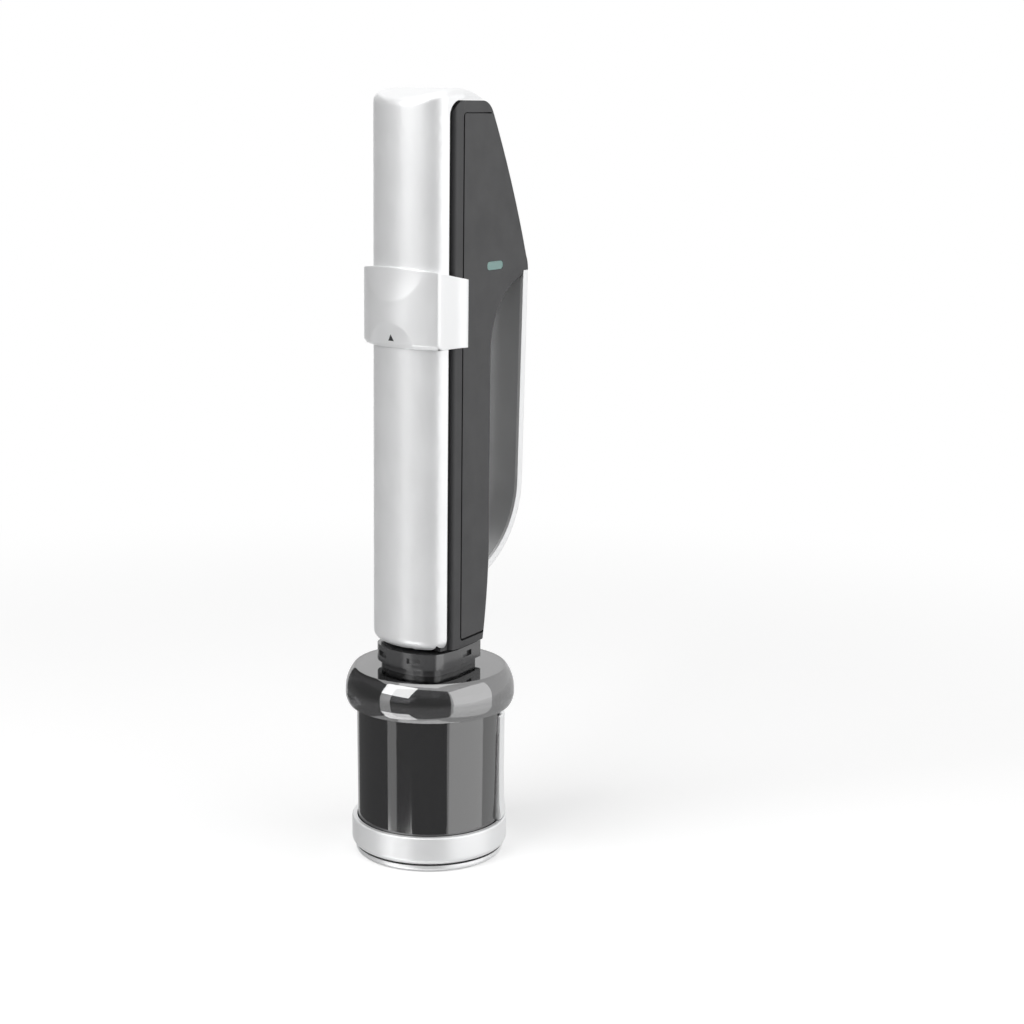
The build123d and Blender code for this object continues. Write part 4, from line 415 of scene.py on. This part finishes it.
def edge_group(name, sharp_angle, weld=False):
    """Geometry nodes: merge loose triangles if asked, and shade smooth by angle."""
    group = bpy.data.node_groups.new(name, "GeometryNodeTree")
    for direction in ("INPUT", "OUTPUT"):
        group.interface.new_socket(
            "Geometry", in_out=direction, socket_type="NodeSocketGeometry")
    start = group.nodes.new("NodeGroupInput")
    end = group.nodes.new("NodeGroupOutput")
    flow = start.outputs[0]
    if weld:
        merge = group.nodes.new("GeometryNodeMergeByDistance")
        merge.inputs["Distance"].default_value = WELD_DISTANCE
        group.links.new(flow, merge.inputs["Geometry"])
        flow = merge.outputs["Geometry"]
    angle = group.nodes.new("GeometryNodeInputMeshEdgeAngle")
    smooth = group.nodes.new("FunctionNodeCompare")
    smooth.data_type = "FLOAT"
    smooth.operation = "LESS_EQUAL"
    smooth.inputs["B"].default_value = math.radians(sharp_angle)
    faces = group.nodes.new("GeometryNodeSetShadeSmooth")
    faces.domain = "FACE"
    edges = group.nodes.new("GeometryNodeSetShadeSmooth")
    edges.domain = "EDGE"
    group.links.new(flow, faces.inputs["Geometry"])
    group.links.new(faces.outputs["Geometry"], edges.inputs["Geometry"])
    group.links.new(angle.outputs["Unsigned Angle"], smooth.inputs["A"])
    group.links.new(smooth.outputs["Result"], edges.inputs["Shade Smooth"])
    group.links.new(edges.outputs["Geometry"], end.inputs[0])
    return group

WELD = edge_group("weld_and_smooth", WELD_ANGLE, weld=True)
SMOOTH = edge_group("smooth_by_angle", SMOOTH_ANGLE)
print("modifier groups", WELD.name, SMOOTH.name)

# %% Modifier steps
FLAT_ANGLE, HARD_ANGLE = 0.3, 40
BREAK_SEGMENTS = 2

def add_group(piece, group):
    """Run a node group as the piece's next modifier."""
    step = piece.modifiers.new(group.name, "NODES")
    step.node_group = group

def break_edges(piece, width):
    """Bevel the hard edges of a piece by width, as its next modifier."""
    rounding = piece.modifiers.new("edge_break", "BEVEL")
    rounding.width = width
    rounding.segments = BREAK_SEGMENTS
    rounding.limit_method = "ANGLE"
    rounding.angle_limit = math.radians(HARD_ANGLE)
    return rounding

def finish_solid(piece, width):
    """Join the flat triangles, break the hard edges by width, and shade the rest."""
    flat = piece.modifiers.new("join_flats", "DECIMATE")
    flat.decimate_type = "DISSOLVE"
    flat.angle_limit = math.radians(FLAT_ANGLE)
    rounding = break_edges(piece, width)
    rounding.use_clamp_overlap = True
    rounding.miter_outer = "MITER_ARC"
    add_group(piece, SMOOTH)
    weights = piece.modifiers.new("flat_faces_first", "WEIGHTED_NORMAL")
    weights.keep_sharp = True

# %% Dress the solids
EDGE_BREAK = {  # width of the bevel, in metres, on each piece that shows
    "front_cover": 0.00035, "left_side_panel": 0.00035, "right_side_panel": 0.00035,
    "chassis": 0.0003, "handle_bow": 0.0003, "neck_collar": 0.0003, "bell": 0.0003,
    "top_cap": 0.0003, "stopper_shell": 0.0003, "base_ring": 0.0003, "foot_ring": 0.0003,
    "lever": 0.00025, "lever_leaf": 0.0002, "lever_keeper": 0.0002, "bow_liner": 0.0002,
}

slot_of = {entry["node"]: entry["material_slot"] for entry in frame["record"]["subparts"]}
for name, node in nodes.items():
    node.data.materials.clear()
    node.data.materials.append(FINISHES[slot_of[name]])
    add_group(node, WELD)
    if name in EDGE_BREAK:
        finish_solid(node, EDGE_BREAK[name])
print("dressed", len(nodes), "solids,", len(EDGE_BREAK), "with broken edges")

# %% [markdown]
# The clasp is a cast band that slides on the cover and locks it. Its front is one even
# curve; a tight corner turns it into flat sides, and a narrow flared strip ends it at
# the back. The solid has the right size with flat facets. A block cut to shape would
# keep such facets, so the band is drawn here as a wire in plan: one point spun about the
# front's centre and about the corner's, run on straight along the side, and mirrored.

# %% Clasp band's outline
BAND_FOOT, BAND_HEAD = 0.2245, 0.2578
FRONT_CENTRE, FRONT_RADIUS, FRONT_ANGLE = 7.1 * MM, 33.7 * MM, math.radians(37.6)
CORNER_RADIUS = 2.6 * MM
SIDE_END = (21.35 * MM, -6.4 * MM)
FLARE_END = (22.0 * MM, -1.2 * MM)
FRONT_STEPS, CORNER_STEPS, SIDE_STEPS, FLARE_STEPS = 34, 10, 6, 3
SAME_PLACE = 1e-6

def verts_of(geometry):
    """The vertices among what an operator made."""
    return [g for g in geometry if isinstance(g, bmesh.types.BMVert)]

def spin_on(shape, tip, centre, angle, steps):
    """Carry the wire on from tip, round a centre in plan, and return the new tip."""
    turned = bmesh.ops.spin(
        shape, geom=[tip], cent=(centre[0], centre[1], BAND_FOOT), axis=(0, 0, 1),
        angle=angle, steps=steps, use_merge=False)
    return verts_of(turned["geom_last"])[0]

def run_on(shape, tip, goal, steps):
    """Carry the wire on in a straight line to a goal in plan."""
    start = tip.co.copy()
    for step in range(1, steps + 1):
        tip = bmesh.ops.extrude_vert_indiv(shape, verts=[tip])["verts"][0]
        tip.co = start.lerp(Vector((*goal, start.z)), step / steps)
    return tip

band = bmesh.new()
tip = band.verts.new((0, FRONT_CENTRE - FRONT_RADIUS, BAND_FOOT))
tip = spin_on(band, tip, (0, FRONT_CENTRE), FRONT_ANGLE, FRONT_STEPS)
inward = FRONT_RADIUS - CORNER_RADIUS
corner = (inward * math.sin(FRONT_ANGLE), FRONT_CENTRE - inward * math.cos(FRONT_ANGLE))
tip = spin_on(band, tip, corner, math.pi / 2 - FRONT_ANGLE, CORNER_STEPS)
tip = run_on(band, tip, SIDE_END, SIDE_STEPS)
tip = run_on(band, tip, FLARE_END, FLARE_STEPS)
bmesh.ops.mirror(
    band, geom=band.verts[:] + band.edges[:], axis="X", merge_dist=SAME_PLACE)
bmesh.ops.remove_doubles(band, verts=band.verts[:], dist=SAME_PLACE)
print("band outline", len(band.edges), "edges")

# %% [markdown]
# The clasp's front has a shallow dish at its head for a fingertip and a deeper scoop at
# its foot for the thumb. Sculpting could dent them; a formula gives the same dent each
# time. The outline is extruded upwards level by level, so that there are enough vertices
# to press in, and the head slopes down towards the back.

# %% Clasp band's outer wall
BAND_LEVELS = 60
TOP_SLOPE = 0.2
PRESSED_FROM = -17.5 * MM
DISH_DEPTH, DISH = 1.1 * MM, (BAND_HEAD + 1 * MM, 16 * MM, 15 * MM)
SCOOP_DEPTH, SCOOP = 1.5 * MM, (BAND_FOOT - 1 * MM, 13 * MM, 11.5 * MM)
BEVEL_TOP, BEVEL_SLOPE, BEVEL_SHARE = BAND_FOOT + 1.8 * MM, 1.15, 0.5
BAND_HEIGHT = BAND_HEAD - BAND_FOOT

def ellipse_rise(x, z, centre_z, half_width, half_height):
    """1 at the centre of an upright ellipse on the front, 0 on its rim and outside."""
    return max(0.0, 1 - (x / half_width) ** 2 - ((z - centre_z) / half_height) ** 2)

def press_in(x, y, z):
    """How far the dish, the scoop and the lower bevel lie behind the even curve."""
    if y > PRESSED_FROM:
        return 0.0
    dish = DISH_DEPTH * ellipse_rise(x, z, *DISH)
    scoop = SCOOP_DEPTH * ellipse_rise(x, z, *SCOOP)
    bevel = BEVEL_SLOPE * max(0.0, BEVEL_TOP - z)
    return max(dish, scoop + BEVEL_SHARE * bevel, bevel)

def extruded_rim(shape, edges):
    """Extrude edges in place; return the new verts and the edges between them."""
    made = bmesh.ops.extrude_edge_only(shape, edges=edges)["geom"]
    verts = verts_of(made)
    new = set(verts)
    rim = [g for g in made if isinstance(g, bmesh.types.BMEdge) and new.issuperset(g.verts)]
    return verts, rim

rim = band.edges[:]
for level in range(BAND_LEVELS):
    verts, rim = extruded_rim(band, rim)
    bmesh.ops.translate(band, verts=verts, vec=(0, 0, BAND_HEIGHT / BAND_LEVELS))
for vert in band.verts:
    x, y, z = vert.co
    share = (z - BAND_FOOT) / BAND_HEIGHT
    vert.co.z -= share * TOP_SLOPE * (y - FRONT_CENTRE + FRONT_RADIUS)
    vert.co.y += press_in(x, y, z)
print("outer wall", len(band.faces), "faces, head rim", len(rim), "edges")

# %% [markdown]
# The band's inner face lies on the cover, with a sliding gap between them. Solidify could
# thicken the outer wall, but then the inner face would copy its dents. So the head's rim
# is extruded once more and laid on the cover's own oval, and again down to the foot,
# where a bridge joins it to the outer wall and two end caps close the back.

# %% Clasp band's inner wall
COVER_CENTRE_Y, COVER_HALF_WIDTH, COVER_BULGE = -11.2 * MM, 20.22 * MM, 12.42 * MM
FOOT_TOLERANCE = 1e-7

def on_cover(x, y):
    """The nearest point of the cover's outer face, with the sliding gap kept."""
    if y > COVER_CENTRE_Y:
        return math.copysign(COVER_HALF_WIDTH, x), y
    angle = math.atan2(x, COVER_CENTRE_Y - y)
    sine, cosine = math.sin(angle), math.cos(angle)
    reach = 1 / math.hypot(sine / COVER_HALF_WIDTH, cosine / COVER_BULGE)
    return reach * sine, COVER_CENTRE_Y - reach * cosine

def on_foot(edge):
    """Whether an edge lies in the level of the band's foot."""
    return all(abs(v.co.z - BAND_FOOT) < FOOT_TOLERANCE for v in edge.verts)

def open_edges(shape):
    """How many edges don't have a face on both sides."""
    return sum(1 for edge in shape.edges if not edge.is_manifold)

verts, rim = extruded_rim(band, rim)
for vert in verts:
    vert.co.x, vert.co.y = on_cover(vert.co.x, vert.co.y)
verts, rim = extruded_rim(band, rim)
for vert in verts:
    vert.co.z = BAND_FOOT
foot = [edge for edge in band.edges if edge.is_boundary and on_foot(edge)]
bmesh.ops.bridge_loops(band, edges=foot)
gaps = [edge for edge in band.edges if edge.is_boundary]
bmesh.ops.holes_fill(band, edges=gaps, sides=0)
bmesh.ops.recalc_face_normals(band, faces=band.faces[:])
print("band", len(band.faces), "faces,", open_edges(band), "open edges")
clasp_band = new_mesh_object("clasp_band", band)
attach(clasp_band, "clasp")
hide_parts("clasp")

# %% [markdown]
# A small pointer on the clasp shows which way it slides. It could be engraved; as a
# printed mark it is a thin three-sided prism laid on the scoop, a few hundredths of a
# millimetre proud of it. Its face is subdivided, so that it can follow the scoop.

# %% Pointer
POINTER_RADIUS, POINTER_X, POINTER_Z = 1.8 * MM, 0.7 * MM, 0.2283
POINTER_PROUD, POINTER_ROOT = 0.06 * MM, 0.4 * MM
POINTER_CORNERS, POINTER_CUTS = 3, 3

mark = bmesh.new()
bmesh.ops.create_circle(
    mark, cap_ends=True, segments=POINTER_CORNERS, radius=POINTER_RADIUS)
bmesh.ops.subdivide_edges(
    mark, edges=mark.edges[:], cuts=POINTER_CUTS, use_grid_fill=True)
bmesh.ops.triangulate(mark, faces=mark.faces[:])
raised = bmesh.ops.extrude_face_region(mark, geom=mark.faces[:])["geom"]
front = set(verts_of(raised))
for vert in mark.verts:
    x, z = vert.co.x + POINTER_X, vert.co.y + POINTER_Z
    y = FRONT_CENTRE - math.sqrt(FRONT_RADIUS ** 2 - x ** 2)
    y += press_in(x, y, z) + (-POINTER_PROUD if vert in front else POINTER_ROOT)
    vert.co = (x, y, z)
bmesh.ops.recalc_face_normals(mark, faces=mark.faces[:])
print("pointer", len(mark.faces), "faces,", open_edges(mark), "open edges")
pointer = new_mesh_object("clasp_pointer", mark)
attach(pointer, "clasp")

# %% [markdown]
# Four small springs work inside: under the poppet, over the nozzle, over the regulator's
# piston and over the flag. A spring is one steel wire wound into a helix. It could be a
# curve with a round bevel; here a small disc is spun about the spring's axis and rises a
# little at each step, which closes its two ends as well. Each spring fills the box of its
# solid and moves with that solid's body as one rigid piece.

# %% Wound wire
WIRE_SIDES, STEPS_PER_TURN = 8, 24

def wound_wire(low, high, wire_radius, turns):
    """A closed round wire wound about Z, which fills the box between two corners."""
    rise = high[2] - low[2] - 2 * wire_radius
    coil_radius = (high[0] - low[0]) / 2 - wire_radius
    axis = ((low[0] + high[0]) / 2, (low[1] + high[1]) / 2, 0)
    start = (axis[0] + coil_radius, axis[1], low[2] + wire_radius)
    steps = turns * STEPS_PER_TURN
    wire = bmesh.new()
    bmesh.ops.create_circle(wire, cap_ends=True, segments=WIRE_SIDES, radius=wire_radius)
    bmesh.ops.rotate(wire, verts=wire.verts[:], matrix=UPRIGHT)
    bmesh.ops.translate(wire, verts=wire.verts[:], vec=start)
    bmesh.ops.spin(
        wire, geom=wire.faces[:] + wire.edges[:] + wire.verts[:], cent=axis, axis=(0, 0, 1),
        dvec=(0, 0, rise / steps), angle=2 * math.pi * turns, steps=steps)
    bmesh.ops.recalc_face_normals(wire, faces=wire.faces[:])
    return wire

# %% Springs
SPRINGS = {  # node: joint, radius of the wire, turns, height of the end that stays
    "valve_spring": ("poppet_slide", 0.26 * MM, 3, 0.059),
    "nozzle_spring": ("nozzle_slide", 0.46 * MM, 3, 0.105),
    "regulator_spring": ("piston_slide", 0.56 * MM, 3, 0.1175),
    "indicator_spring": ("indicator_slide", 0.37 * MM, 4, 0.2673),
}

springs = []
for name, (joint, wire_radius, turns, fixed_end) in SPRINGS.items():
    low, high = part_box(name)
    wire = wound_wire(low, high, wire_radius, turns)
    coil = new_mesh_object("wound_" + name, wire)
    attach(coil, body_of(nodes[name])[0])
    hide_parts(name)
    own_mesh(coil)
    springs.append(coil)

# %% [markdown]
# The new pieces get the finishes of their slots. They have no loose triangles, so the
# weld and the decimate are left out: the band's edges are broken, and each piece is
# shaded smooth by angle.

# %% Dress the new pieces
BAND_EDGE_BREAK = 0.25 * MM

clasp_band.data.materials.append(FINISHES["satin_silver"])
pointer.data.materials.append(FINISHES["black_plastic"])
for coil in springs:
    coil.data.materials.append(FINISHES["steel"])
break_edges(clasp_band, BAND_EDGE_BREAK)
new_pieces = [clasp_band, pointer, *springs]
for piece in new_pieces:
    add_group(piece, SMOOTH)
print("dressed", len(new_pieces), "new pieces")
